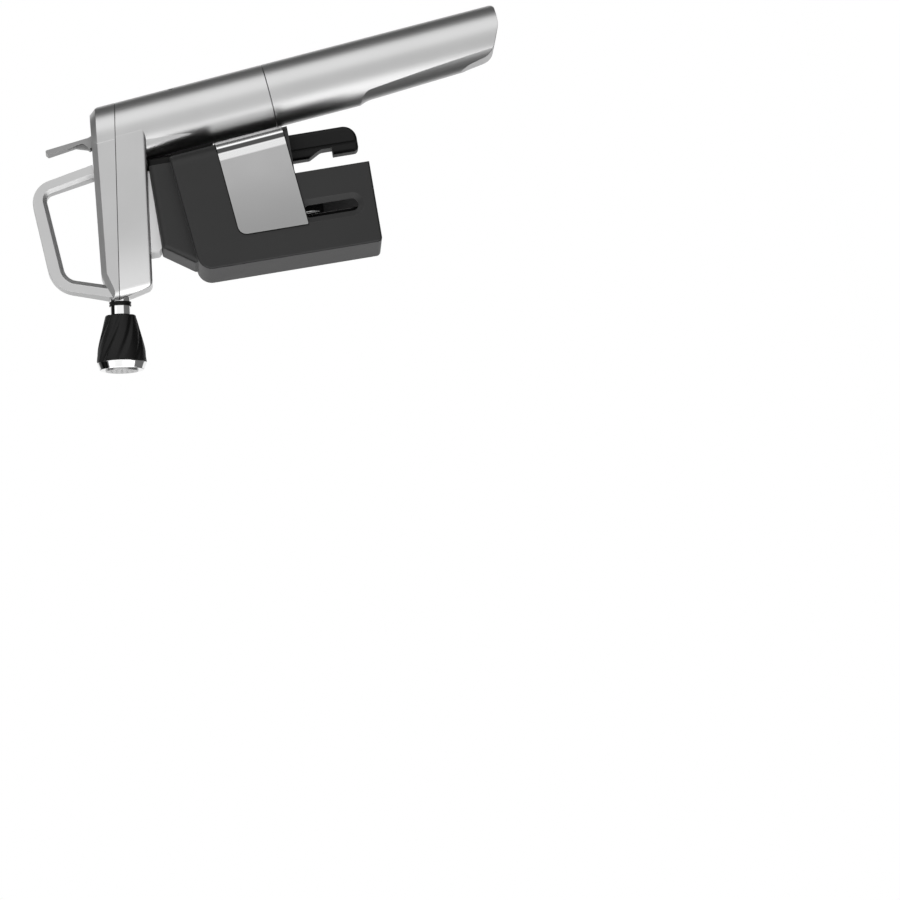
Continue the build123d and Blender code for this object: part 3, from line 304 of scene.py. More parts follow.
@dataclass(frozen=True)
class BentTrim(Brushed):
    """Brushed plate with a painted highlight where it is bent, a painted dark reflection stripe round the bend and
    painted shade towards the front.

    Its places are counted from the housing's back.
    """

    painted_bend_highlight: float = 0.36         # how much lighter the painted highlight on the bend is
    painted_highlight_end: tuple[float, float] = (8.0 * MM, 8.8 * MM)
    # Painted dark reflection stripe round the bend: where it lies, its soft edges and its colour
    stripe: tuple[float, float] = (3.0 * MM, 5.2 * MM)
    stripe_soft: float = 0.6 * MM
    stripe_colour: float = 0.055
    painted_front_shade: float = 0.12           # how much darker the painted shade makes the front
    painted_shade_span: tuple[float, float] = (8.4 * MM, 46.2 * MM)

    def shade(self, graph: Graph, colour: Wire, place: Wire) -> Wire:
        """Paints shade towards the front, a highlight on the bend and a dark reflection stripe round the bend.

        Args:
            graph: Node tree of the material.
            colour: Colour before.
            place: Position on the piece, in metres.

        Returns:
            The changed colour.
        """
        across, _, up = graph.axes(place)
        lean = math.radians(HANDLE_LEAN)
        ahead = (across - HOUSING_BACK * MM) * math.cos(lean) - up * math.sin(lean)
        # Painted shade towards the front, painted highlight on the bend, painted dark reflection stripe round it
        front_shaded = graph.mixed(ahead.ramp(*self.painted_shade_span), colour, grey(self.colour - self.painted_front_shade, self.warmth))
        bent = 1 - ahead.ramp(*self.painted_highlight_end)
        bend_highlighted = graph.mixed(bent, front_shaded, grey(self.colour + self.painted_bend_highlight, self.warmth))
        return graph.mixed(ahead.between(self.stripe, self.stripe_soft), bend_highlighted, grey(self.stripe_colour))


@dataclass(frozen=True)
class Cast(Finish):
    """Satin metal with painted light that makes it brighter towards the nose of the arm."""

    nose: tuple[float, float] = (-8.0 * MM, 24.0 * MM)
    painted_nose_light: float = 0.20

    def shade(self, graph: Graph, colour: Wire, place: Wire) -> Wire:
        """Paints light into the colour towards the nose."""
        # Painted light: lighter towards the nose
        ahead = graph.axes(place)[0].ramp(*self.nose)
        return graph.mixed(ahead, colour, grey(self.colour + self.painted_nose_light, self.warmth))


@dataclass(frozen=True)
class Plated(Finish):
    """Mirror plating with a painted reflection: a dark stripe painted along its upper side, for the dark of a room that
    it would mirror.
    """

    stripe: tuple[float, float] = (0.60, 0.92)    # upward part of the normal
    stripe_soft: float = 0.06
    stripe_colour: float = 0.03

    def shade(self, graph: Graph, colour: Wire, place: Wire) -> Wire:
        """Paints the dark reflection stripe into the colour."""
        upward = graph.axes(graph.node("ShaderNodeNewGeometry", {}, {}, "Normal"))[2]
        return graph.mixed(upward.between(self.stripe, self.stripe_soft), colour, grey(self.stripe_colour))


BLASTED: dict[str, float] = {"metallic": 1.0, "roughness_change": 0.05, "grain": 3800.0, "grain_depth": 0.10}


class Look(Enum):
    """Finishes of the dispenser."""

    SATIN = Finish("satin_metal", 0.52, roughness=0.36, clouding=0.02, edge=0.35 * MM, **BLASTED)
    CASTING = Cast("satin_casting", 0.52, roughness=0.36, clouding=0.02, edge=0.35 * MM, **BLASTED)
    TAB = Finish("satin_tab", 0.28, roughness=0.38, clouding=0.03, edge=0.30 * MM, **BLASTED)
    HOUSING = Finish("dark_plastic", 0.010, roughness=0.50, specular=0.35, grain=3200.0, grain_depth=0.10,
                     edge=0.3 * MM, wear_and_edge_highlight=0.045)
    BLACK = Finish("black_plastic", 0.003, roughness=0.46, specular=0.20, grain=2600.0, grain_depth=0.05,
                   edge=0.3 * MM, wear_and_edge_highlight=0.006)
    PALE = Finish("light_plastic", 0.46, roughness=0.45, clouding=0.02, edge=0.3 * MM)
    NATURAL = Finish("natural_plastic", 0.60, warmth=0.03, roughness=0.42, clouding=0.03)
    TRIM = BentTrim("brushed_trim", 0.44, metallic=1.0, roughness=0.19, roughness_change=0.05, clouding=0.03,
                    grain_depth=0.02, edge=0.06 * MM, turn=4.0)
    CHROME = Plated("chrome_plate", 0.93, metallic=1.0, roughness=0.04, roughness_change=0.01, clouding=0.01,
                    grain_depth=0.002, edge=0.2 * MM)
    STEEL = Finish("steel", 0.52, metallic=1.0, roughness=0.28, roughness_change=0.08, edge=0.12 * MM)
    SPRING = Finish("spring_steel", 0.40, metallic=1.0, roughness=0.33, edge=0.08 * MM)
    BRASS = Finish("brass_parts", 0.50, warmth=0.32, metallic=1.0, roughness=0.3, edge=0.2 * MM)
    RUBBER = Finish("black_rubber", 0.020, roughness=0.72, grain=1800.0, grain_depth=0.08, edge=0.3 * MM)
    DARK_RUBBER = Finish("dark_rubber", 0.006, roughness=0.80, specular=0.15, grain=1800.0, grain_depth=0.08,
                         edge=0.1 * MM)


class Wardrobe:
    """Materials of the finishes, each made once."""

    def __init__(self) -> None:
        """Starts empty."""
        self.made: dict[Look, bpy.types.Material] = {}

    def get(self, look: Look) -> bpy.types.Material:
        """Material of a finish."""
        if look not in self.made:
            self.made[look] = look.value.make()
        return self.made[look]


# ---- Modelling, in millimetres until a piece is settled ----
KINDS = ("VERT", "EDGE", "FACE")
DOUBLE = 0.001               # distance within which vertices are merged
SMOOTH_ANGLE = 32.0          # degrees up to which faces are shaded as one


def stand(place: tuple[float, float, float], lean: float) -> Matrix:
    """Frame at a place, leaning towards +X.

    Args:
        place: Origin in mm.
        lean: Angle in degrees by which its z axis leans towards +X.

    Returns:
        The matrix from that frame, in mm, to the object's, in metres.
    """
    return Matrix.Scale(MM, 4) @ Matrix.Translation(Vector(place)) @ Matrix.Rotation(math.radians(lean), 4, "Y")


ARM_FRAME = stand((0.0, 0.0, SEAM_HEIGHT), -ARM_RISE)
BACK_FRAME = stand((HOUSING_BACK, 0.0, 0.0), HANDLE_LEAN)
SPOUT_FRAME = stand((0.0, 0.0, SEAM_HEIGHT), 90 - ARM_RISE)
HANDLE_FRAME = stand(HANDLE_PLACE, HANDLE_LEAN)


class Bench:
    """Modelling steps on one piece: a start shape, work in edit mode, modifiers and its place."""

    def __init__(self, name: str) -> None:
        """Takes the object that was added last."""
        self.piece = bpy.context.active_object
        self.piece.name = self.piece.data.name = name

    def only(self) -> None:
        """Selects this piece alone."""
        bpy.ops.object.select_all(action="DESELECT")
        self.piece.select_set(True)
        bpy.context.view_layer.objects.active = self.piece

    def freeze(self) -> None:
        """Puts the piece's place, turn and size in its mesh."""
        self.only()
        bpy.ops.object.transform_apply(location=True, rotation=True, scale=True)

    @contextmanager
    def editing(self, kind: str = "FACE", test: Callable[[Any], bool] = lambda part: True) -> Iterator[None]:
        """Opens the mesh with some of its parts selected, and closes it afterwards.

        Args:
            kind: VERT, EDGE or FACE.
            test: Says of a part whether it is selected.
        """
        self.only()
        bpy.context.tool_settings.mesh_select_mode = tuple(kind == one for one in KINDS)
        mesh = self.piece.data
        for parts in (mesh.vertices, mesh.edges, mesh.polygons):
            parts.foreach_set("select", [False] * len(parts))
        for part in {"VERT": mesh.vertices, "EDGE": mesh.edges, "FACE": mesh.polygons}[kind]:
            part.select = test(part)
        bpy.ops.object.mode_set(mode="EDIT")
        yield
        bpy.ops.object.mode_set(mode="OBJECT")

    def cut(self, place: tuple[float, float, float], way: tuple[float, float, float], clear: bool = True) -> None:
        """Cuts the mesh along a plane.

        Args:
            place: Point on the plane.
            way: Its normal.
            clear: Whether what lies on the normal's side is removed.
        """
        with self.editing():
            bpy.ops.mesh.bisect(plane_co=place, plane_no=way, clear_outer=clear)

    def heal(self) -> None:
        """Merges doubles and turns the faces outwards."""
        with self.editing():
            bpy.ops.mesh.remove_doubles(threshold=DOUBLE)
            bpy.ops.mesh.normals_make_consistent(inside=False)

    def modify(self, kind: str, **settings: Any) -> None:
        """Adds a modifier and applies it.

        Args:
            kind: Type name of the modifier.
            settings: Its properties by name.
        """
        self.only()
        modifier = self.piece.modifiers.new(kind.lower(), kind)
        for name, value in settings.items():
            setattr(modifier, name, value)
        bpy.ops.object.modifier_apply(modifier=modifier.name)

    def soften(self, width: float, segments: int = 2, angle: float = 35.0) -> None:
        """Rounds the edges that are sharper than an angle.

        Args:
            width: Width of the rounding in mm.
            segments: Number of its faces.
            angle: Smallest angle in degrees that is rounded.
        """
        self.modify("BEVEL", width=width, segments=segments, limit_method="ANGLE", angle_limit=math.radians(angle))

    def mirrored(self, name: str) -> "Bench":
        """Makes a copy with its own mesh on the other side.

        Args:
            name: Name of the copy.

        Returns:
            The bench that holds it.
        """
        self.only()
        bpy.ops.object.duplicate(linked=False)
        twin = Bench(name)
        twin.piece.scale = (1, -1, 1)
        twin.freeze()
        twin.heal()
        return twin

    def deliver(self, frame: Matrix, material: bpy.types.Material, slot: str, body: str, *nodes: str) -> None:
        """Settles the finished piece and hands it to the model.

        Args:
            frame: Frame that the piece was modelled in.
            material: Its finish.
            slot: Material slot of the record that the finish stands for; not used.
            body: Body that it rides on.
            nodes: Nodes that it stands for.
        """
        self.piece.matrix_world = frame
        self.freeze()
        bpy.ops.object.shade_smooth_by_angle(angle=math.radians(SMOOTH_ANGLE))
        self.modify("WEIGHTED_NORMAL", keep_sharp=True)
        self.piece.data.materials.clear()
        self.piece.data.materials.append(material)
        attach(self.piece, body)
        if nodes:
            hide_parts(*nodes)
        log.info("modelled %s, %d faces", self.piece.name, len(self.piece.data.polygons))


@dataclass
class BentSheet:
    """Sheet bent round the housing's back corner. x runs to the front and z up along the housing's back."""

    lift: float                  # inner face above the housing
    thickness: float
    grow: float = 0.0            # how far the edges stand out beyond the plate's
    corner: float = 6.0          # rounding of the housing's back corner
    side: float = 22.0           # half width of the housing
    back_end: float = 9.0        # where it ends on the back, from the middle
    top_back: tuple[float, float] = (0.0, -13.96)    # points of the outer edges, in x and z
    top_front: tuple[float, float] = (42.04, -14.14)
    foot_front: tuple[float, float] = (44.86, -44.21)
    foot_back: tuple[float, float] = (0.0, -43.79)
    top_round: float = 3.5
    foot_round: float = 0.6
    round_segments: int = 10
    bend_steps: int = 12
    blank: float = 60.0          # side of the sheet before it is cut
    edge_round: float = 0.0

    def trim(self, sheet: Bench, first: tuple[float, float], second: tuple[float, float]) -> None:
        """Cuts the sheet along one of its outer edges."""
        way = Vector((first[1] - second[1], 0.0, second[0] - first[0])).normalized()
        sheet.cut(tuple(Vector((first[0], 0.0, first[1])) + self.grow * way), tuple(way))

    def round_corner(self, sheet: Bench, corner: tuple[float, float], radius: float) -> None:
        """Rounds one of the front corners.

        Args:
            sheet: Bench that holds the sheet.
            corner: The corner's x and z.
            radius: Radius of the rounding, before the edges stand out.
        """
        place = Vector((corner[0], self.side + self.lift, corner[1]))
        near = 0.5 + 2 * self.grow
        with sheet.editing("VERT", lambda part: (part.co - place).length < near):
            bpy.ops.mesh.bevel(affect="VERTICES", offset=radius + self.grow, segments=self.round_segments,
                               profile=0.5)

    def model(self, name: str) -> Bench:
        """Models the sheet of the left side.

        Args:
            name: Name of the piece.

        Returns:
            The bench that holds it.
        """
        level = self.side + self.lift
        bpy.ops.mesh.primitive_plane_add(size=1, location=(self.corner + self.blank / 2, level, -self.blank / 2),
                                         rotation=(math.radians(-90), 0, 0))
        sheet = Bench(name)
        sheet.piece.scale = (self.blank, self.blank, 1)
        sheet.freeze()
        for first, second in ((self.top_back, self.top_front), (self.top_front, self.foot_front),
                              (self.foot_front, self.foot_back)):
            self.trim(sheet, first, second)
        self.round_corner(sheet, self.top_front, self.top_round)
        self.round_corner(sheet, self.foot_front, self.foot_round)
        bend = self.side - self.corner
        with sheet.editing("VERT", lambda part: part.co.x < self.corner + 0.01):
            bpy.ops.mesh.spin(steps=self.bend_steps, angle=math.radians(90), center=(self.corner, bend, 0),
                              axis=(0, 0, -1))
            bpy.ops.mesh.extrude_region_move(
                TRANSFORM_OT_translate={"value": (0, self.back_end - self.grow - bend, 0)})
        sheet.heal()
        sheet.modify("SOLIDIFY", thickness=self.thickness, offset=1.0)
        if self.edge_round:
            sheet.soften(self.edge_round, angle=40.0)
        return sheet


@dataclass
class SeamShadeBand:
    """Thin dark band in the joint between casting and cover, in the arm's plan: painted shade for the groove of the
    joint.
    """

    back: float = -47.756        # centre of the sleeve's round end
    back_long: float = 14.48     # radius of that end along the arm
    back_wide: float = 14.10     # and across it
    nose: float = 25.2           # front of the arm
    nose_half: float = 9.21      # half width at the front
    nose_round: float = 5.0
    inset: float = 0.22          # of the seal behind the shells' surface
    width: float = 1.1
    height: float = 0.14
    middle: float = 0.10         # of the band behind the shells' surface
    spout_clear: float = 4.1     # half width of the opening for the spout
    sides: int = 128

    def disc(self, place: tuple[float, float], radius: float, stretch: float = 1.0) -> bpy.types.Object:
        """Adds a flat disc for one corner of the outline.

        Args:
            place: Its centre.
            radius: Its radius.
            stretch: Length over width.

        Returns:
            The disc.
        """
        bpy.ops.mesh.primitive_cylinder_add(vertices=self.sides, radius=radius, depth=self.height,
                                            location=(*place, self.middle))
        disc = bpy.context.active_object
        disc.scale = (stretch, 1, 1)
        return disc

    def model(self, name: str) -> Bench:
        """Models the seal as a band round the hull of the outline's corners.

        Args:
            Models the painted-shade band round the hull of the outline's corners.

        Returns:
            The bench that holds it.
        """
        ahead, across = self.nose - self.nose_round, self.nose_half - self.nose_round
        discs = [self.disc((ahead, side), self.nose_round - self.inset) for side in (across, -across)]
        discs.append(self.disc((self.back, 0.0), self.back_wide - self.inset, self.back_long / self.back_wide))
        for disc in discs:
            disc.select_set(True)
        bpy.ops.object.join()
        shade_band = Bench(name)
        shade_band.freeze()
        with shade_band.editing():
            bpy.ops.mesh.convex_hull()
        with shade_band.editing("FACE", lambda part: abs(part.normal.z) > 0.5
                          or (part.center.x > 0 and abs(part.center.y) < self.spout_clear)):
            bpy.ops.mesh.delete(type="FACE")
        shade_band.heal()
        shade_band.modify("SOLIDIFY", thickness=self.width, offset=-1.0)
        return shade_band


@dataclass
class Bumper:
    """Rubber strip on the housing's back, beside the rail's channel, that keeps the sleeve off the housing."""

    inner: float = 7.5           # from the middle
    outer: float = 10.3
    thickness: float = 2.4
    gap: float = 0.02            # to the housing
    foot: float = -13.6
    top: float = 5.4
    corner_round: float = 1.1
    edge_round: float = 0.2
    rim: float = 0.5
    dish: float = 0.25

    def model(self, name: str) -> Bench:
        """Models the strip of the left side.

        Args:
            name: Name of the piece.

        Returns:
            The bench that holds it.
        """
        middle = (-self.thickness / 2 - self.gap, (self.inner + self.outer) / 2, (self.foot + self.top) / 2)
        bpy.ops.mesh.primitive_cube_add(size=1, location=middle)
        strip = Bench(name)
        strip.piece.scale = (self.thickness, self.outer - self.inner, self.top - self.foot)
        strip.freeze()
        vertices = strip.piece.data.vertices

        def runs_back(part: Any) -> bool:
            """Whether an edge runs through the strip's thickness."""
            first, second = (vertices[index].co for index in part.vertices)
            return abs(first.x - second.x) > 1

        with strip.editing("EDGE", runs_back):
            bpy.ops.mesh.bevel(offset=self.corner_round, segments=5)
        with strip.editing("FACE", lambda part: part.normal.x < -0.9):
            bpy.ops.mesh.inset(thickness=self.rim)
            bpy.ops.transform.translate(value=(self.dish, 0, 0))
        strip.heal()
        strip.soften(self.edge_round)
        return strip


@dataclass
class GroovedRing:
    """Ring pushed on the spout, with a groove round its middle. z runs out along the spout."""

    bore: float = 4.39
    radius: float = 4.80
    start: float = 25.45         # from the needle's axis
    length: float = 1.9
    groove: float = 0.5          # width of the groove
    depth: float = 0.28
    slope: float = 0.08          # width of the groove's walls
    edge_round: float = 0.07
    sides: int = 96

    def model(self, name: str) -> Bench:
        """Models the ring from its outer wall.

        Args:
            name: Name of the piece.

        Returns:
            The bench that holds it.
        """
        middle = self.start + self.length / 2
        bpy.ops.mesh.primitive_cylinder_add(vertices=self.sides, radius=self.radius, depth=self.length,
                                            end_fill_type="NOTHING", location=(0, 0, middle))
        ring = Bench(name)
        ring.freeze()
        for height in (middle - self.groove / 2, middle + self.groove / 2):
            ring.cut((0, 0, height), (0, 0, 1), clear=False)
        with ring.editing("FACE", lambda part: abs(part.center.z - middle) < self.groove / 2):
            bpy.ops.mesh.inset(thickness=self.slope, use_boundary=True)
            share = (self.radius - self.depth) / self.radius
            bpy.ops.transform.resize(value=(share, share, 1), center_override=(0, 0, middle))
        with ring.editing("VERT", lambda part: abs(abs(part.co.z - middle) - self.length / 2) < 0.01):
            bpy.ops.mesh.extrude_region_move(TRANSFORM_OT_translate={"value": (0, 0, 0)})
            share = self.bore / self.radius
            bpy.ops.transform.resize(value=(share, share, 1), center_override=(0, 0, middle))
            bpy.ops.mesh.bridge_edge_loops()
        ring.heal()
        ring.soften(self.edge_round)
        return ring


@dataclass
class FlutedBell:
    """Bell-shaped body with twisted flutes from edge to edge. z runs out along the spout."""

    start: float = 31.4          # from the needle's axis
    bore: float = 3.76
    wall: float = 1.9
    rings: tuple[tuple[float, float], ...] = (    # distance from the start, radius
        (0.0, 6.35), (0.35, 6.75), (2.2, 7.22), (4.2, 7.70), (6.2, 8.20), (8.2, 8.75), (10.2, 9.30), (12.2, 9.80),
        (14.2, 10.25), (16.2, 10.60), (18.2, 10.82), (19.8, 10.90), (20.25, 10.90), (20.6, 10.72))
    socket: float = 12.0         # depth of the narrow bore
    recess: float = 1.6          # for the ring, in the wide end
    shoulder: float = 1.0        # by which the hollow's end is wider than the bore
    flutes: int = 8
    spokes: int = 16             # vertices from one flute to the next
    depth: float = 0.075         # of a flute, as a share of the radius
    presses: tuple[tuple[int, float], ...] = ((3, 0.22), (2, 0.36), (1, 0.27), (0, 0.15))    # reach, share of depth
    twist: float = 52.0          # degrees over the length

    def from_middle(self, part: Any) -> int:
        """Number of vertices from a vertex of the first ring to the middle of the nearest flute."""
        spoke = round(math.atan2(part.co.y, part.co.x) / math.tau * self.flutes * self.spokes) % self.spokes
        return min(spoke, self.spokes - spoke)

    def flute(self, bell: Bench) -> None:
        """Presses the flutes into the first ring, deepest in their middle.

        Args:
            bell: Bench that holds the ring.
        """
        for reach, share in self.presses:
            with bell.editing("VERT", lambda part: self.from_middle(part) <= reach):
                factor = 1 - self.depth * share
                bpy.ops.transform.resize(value=(factor, factor, 1), center_override=(0, 0, self.start))

    def ring(self, height: float, factor: float, turn: float) -> None:
        """Extrudes the open edge to the next ring.

        Args:
            height: Step along the axis.
            factor: Radius over the last ring's.
            turn: Degrees by which it is turned.
        """
        bpy.ops.mesh.extrude_region_move(TRANSFORM_OT_translate={"value": (0, 0, height)})
        bpy.ops.transform.resize(value=(factor, factor, 1), center_override=(0, 0, 0))
        if turn:
            bpy.ops.transform.rotate(value=math.radians(turn), orient_axis="Z", center_override=(0, 0, 0))

    def model(self, name: str) -> Bench:
        """Models the bell ring by ring, then its bore.

        Args:
            name: Name of the piece.

        Returns:
            The bench that holds it.
        """
        first = self.rings[0][1]
        bpy.ops.mesh.primitive_circle_add(vertices=self.flutes * self.spokes, radius=first, location=(0, 0, self.start))
        bell = Bench(name)
        bell.freeze()
        self.flute(bell)
        length = self.rings[-1][0]
        with bell.editing("VERT"):
            for (low, small), (high, large) in zip(self.rings, self.rings[1:]):
                self.ring(high - low, large / small, -self.twist * (high - low) / length)
            foot = self.rings[-1][1] - self.wall
            self.ring(0.0, foot / self.rings[-1][1], 0.0)
            self.ring(-self.recess, 1.0, 0.0)
            self.ring(self.socket + self.recess - length, (self.bore + self.shoulder) / foot, 0.0)
            self.ring(0.0, self.bore / (self.bore + self.shoulder), 0.0)
            self.ring(-self.socket, 1.0, 0.0)
        with bell.editing("VERT", lambda part: False):
            bpy.ops.mesh.select_non_manifold()
            bpy.ops.mesh.bridge_edge_loops()
        bell.heal()
        return bell


@dataclass
class ReturnCoil:
    """Round-wire return spring under the valve stem's head. z runs up the handle."""

    ahead: float = 5.0           # of the stem in front of the handle's axis
    low: float = 56.26           # its foot above the handle's frame
    height: float = 2.70
    radius: float = 2.1          # of the wire's middle
    wire: float = 0.28           # radius of the wire
    turns: int = 2
    turn_steps: int = 28
    wire_sides: int = 10
    stroke: float = 1.4
    slack: float = 0.01          # share that it yields beyond the stroke

    def model(self, name: str) -> Bench:
        """Models the coil from the wire's section.

        Args:
            name: Name of the piece.

        Returns:
            The bench that holds it.
        """
        bpy.ops.mesh.primitive_circle_add(vertices=self.wire_sides, radius=self.wire,
                                          rotation=(math.radians(90), 0, 0),
                                          location=(self.radius, 0, self.low + self.wire))
        coil = Bench(name)
        coil.freeze()
        pitch = (self.height - 2 * self.wire) / self.turns
        coil.modify("SCREW", axis="Z", angle=math.radians(360), screw_offset=pitch, iterations=self.turns,
                    steps=self.turn_steps, render_steps=self.turn_steps)
        with coil.editing():
            bpy.ops.mesh.fill_holes(sides=0)
        coil.piece.location = (self.ahead, 0, 0)
        coil.freeze()
        coil.heal()
        return coil

    def yields(self, piece: bpy.types.Object) -> None:
        """Gives the coil a mesh of its own.

        Args:
            piece: The delivered coil.
        """
        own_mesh(piece)


# ---- Sub-assemblies ----
@dataclass
class Assembly:
    """Group of nodes that belong together, and the looks that they wear."""

    wardrobe: Wardrobe
    looks: dict[str, Look] = field(default_factory=dict)

    def dress(self, nodes: dict[str, bpy.types.Object]) -> None:
        """Gives each node of the group its material.

        Args:
            nodes: The frame's objects by name.
        """
        for name, look in self.looks.items():
            material = self.wardrobe.get(look)
            for slot in nodes[name].material_slots:
                slot.material = material
            log.info("dressed %s in %s", name, look.value.name)

    def build(self) -> None:
        """Models the pieces that the group adds."""


@dataclass
class Head(Assembly):
    """Silver shells with the loop, the foot, the rail and the trigger."""

    shade_band: SeamShadeBand = field(default_factory=SeamShadeBand)
    looks: dict[str, Look] = field(default_factory=lambda: {
        "body_casting": Look.CASTING, "top_cover": Look.SATIN, "trigger": Look.TAB, "trigger_pin": Look.STEEL,
        "cover_screws": Look.STEEL, "rest_foot": Look.PALE, "guide_rail": Look.BLACK, "rail_screws": Look.STEEL})

    def build(self) -> None:
        """Adds the dark band of painted shade in the joint of the shells."""
        shade_band = self.shade_band.model("seam_shade_band")
        shade_band.deliver(ARM_FRAME, self.wardrobe.get(Look.DARK_RUBBER), "black_rubber", "head")


@dataclass
class Handle(Assembly):
    """Capsule cup with the capsule and its seals."""

    looks: dict[str, Look] = field(default_factory=lambda: {
        "capsule_cup": Look.SATIN, "gas_capsule": Look.STEEL, "capsule_seat": Look.RUBBER, "cup_seal": Look.RUBBER})


@dataclass
class GasWorks(Assembly):
    """Regulator and valve inside the handle's sleeve."""

    looks: dict[str, Look] = field(default_factory=lambda: {
        "regulator_body": Look.BRASS, "regulator_piston": Look.BRASS, "regulator_lid": Look.BRASS,
        "regulator_spring": Look.SPRING, "piercing_pin": Look.STEEL, "capsule_gasket": Look.RUBBER,
        "valve_body": Look.BRASS, "valve_stem": Look.STEEL, "gas_tube": Look.STEEL})
    coil: ReturnCoil = field(default_factory=ReturnCoil)

    def build(self) -> None:
        """Adds the return spring, which on the dispenser shortens as the stem goes down."""
        coil = self.coil.model("return_coil")
        coil.deliver(HANDLE_FRAME, self.wardrobe.get(Look.SPRING), "spring_steel", "head", "valve_spring")
        self.coil.yields(coil.piece)


@dataclass
class PouringWay(Assembly):
    """Needle, manifold and spout."""

    looks: dict[str, Look] = field(default_factory=lambda: {
        "needle": Look.STEEL, "needle_hub": Look.BRASS, "needle_seal": Look.RUBBER, "manifold_block": Look.NATURAL,
        "spout_tube": Look.CHROME, "spout_seal": Look.RUBBER})
    ring: GroovedRing = field(default_factory=GroovedRing)

    def build(self) -> None:
        """Adds the grooved ring on the spout."""
        ring = self.ring.model("spout_ring_grooved")
        ring.deliver(SPOUT_FRAME, self.wardrobe.get(Look.BLACK), "black_plastic", "head", "spout_ring")


@dataclass
class Aerator(Assembly):
    """Fluted aerator with its ring and perforated plate."""

    looks: dict[str, Look] = field(default_factory=lambda: {
        "aerator_ring": Look.CHROME, "shower_plate": Look.STEEL, "aerator_gasket": Look.RUBBER})
    bell: FlutedBell = field(default_factory=FlutedBell)

    def build(self) -> None:
        """Adds the fluted body."""
        bell = self.bell.model("aerator_bell")
        bell.deliver(SPOUT_FRAME, self.wardrobe.get(Look.BLACK), "black_plastic", "aerator", "aerator_body")


@dataclass
class Clamp(Assembly):
    """Housing with its trim plates, jaws, liners, guide and pad."""

    looks: dict[str, Look] = field(default_factory=lambda: {
        "clamp_housing": Look.HOUSING, "needle_guide": Look.NATURAL, "mouth_pad": Look.RUBBER,
        "rail_liner_left": Look.NATURAL, "rail_liner_right": Look.NATURAL,
        "jaw_left": Look.BLACK, "jaw_right": Look.BLACK, "grip_pad_left": Look.RUBBER, "grip_pad_right": Look.RUBBER,
        "jaw_pin_left": Look.STEEL, "jaw_pin_right": Look.STEEL,
        "jaw_spring_left": Look.SPRING, "jaw_spring_right": Look.SPRING})
    plate: BentSheet = field(default_factory=lambda: BentSheet(0.26, 0.58, edge_round=0.14))
    # Dark sheet under each plate, a little larger, whose rim is a painted shadow line round the plate
    shadow_sheet: BentSheet = field(default_factory=lambda: BentSheet(0.01, 0.24, grow=0.3))
    bumper: Bumper = field(default_factory=Bumper)

    def pair(self, form: BentSheet | Bumper, name: str, look: Look, slot: str, node: str = "") -> None:
        """Adds a piece on the left and its mirror image on the right.

        Args:
            form: What is modelled for the left side.
            name: Name of the pieces without their side.
            look: Their finish.
            slot: Material slot that the finish stands for.
            node: Name of the nodes that they stand for, without their side.
        """
        left = form.model(f"{name}_left")
        for side, piece in (("right", left.mirrored(f"{name}_right")), ("left", left)):
            nodes = [f"{node}_{side}"] if node else []
            piece.deliver(BACK_FRAME, self.wardrobe.get(look), slot, "clamp", *nodes)

    def build(self) -> None:
        """Adds the trim plates, the dark sheets under them whose rims show as a painted shadow line round each plate,
        and the bumpers.
        """
        self.pair(self.plate, "trim_sheet", Look.TRIM, "brushed_trim", "trim_plate")
        self.pair(self.shadow_sheet, "trim_shadow_sheet", Look.DARK_RUBBER, "black_rubber")
        self.pair(self.bumper, "bumper_strip", Look.DARK_RUBBER, "black_rubber")


# ---- Studio ----
@dataclass(frozen=True)
class Panel:
    """Bright field of the surroundings, as metal shows it, with its limits in degrees."""

    turns: tuple[float, float]       # about the needle's axis, from +Y towards +X
    heights: tuple[float, float]     # above level
    strength: float
    edge: float = 6.0
    behind: bool = False             # turns counted from -Y towards +X instead

    def light(self, turn: Wire, turn_behind: Wire, height: Wire) -> Wire:
        """Light from this field in a direction.

        Args:
            turn: Angle of the ray about the needle's axis, from +Y.
            turn_behind: The same from -Y.
            height: Angle of the ray above level.

        Returns:
            The strength.
        """
        around = (turn_behind if self.behind else turn).between(self.turns, self.edge)
        return around * height.between(self.heights, self.edge) * self.strength


@dataclass(frozen=True)
class Lamp:
    """Soft square lamp that shines at the dispenser and that metal doesn't mirror."""

    name: str
    towards: tuple[float, float, float]    # from the dispenser
    reach: float
    size: float
    power: float                           # watts

    def hang(self, centre: Vector) -> None:
        """Adds the lamp to the scene.

        Args:
            centre: Point that it shines at.
        """
        data = bpy.data.lights.new(self.name, "AREA")
        data.energy, data.size = self.power, self.size
        lamp = bpy.data.objects.new(self.name, data)
        way = Vector(self.towards).normalized()
        turned = way.to_track_quat("Z", "Y").to_matrix().to_4x4()
        lamp.matrix_world = Matrix.Translation(centre + way * self.reach) @ turned
        lamp.visible_glossy = False
        bpy.context.scene.collection.objects.link(lamp)


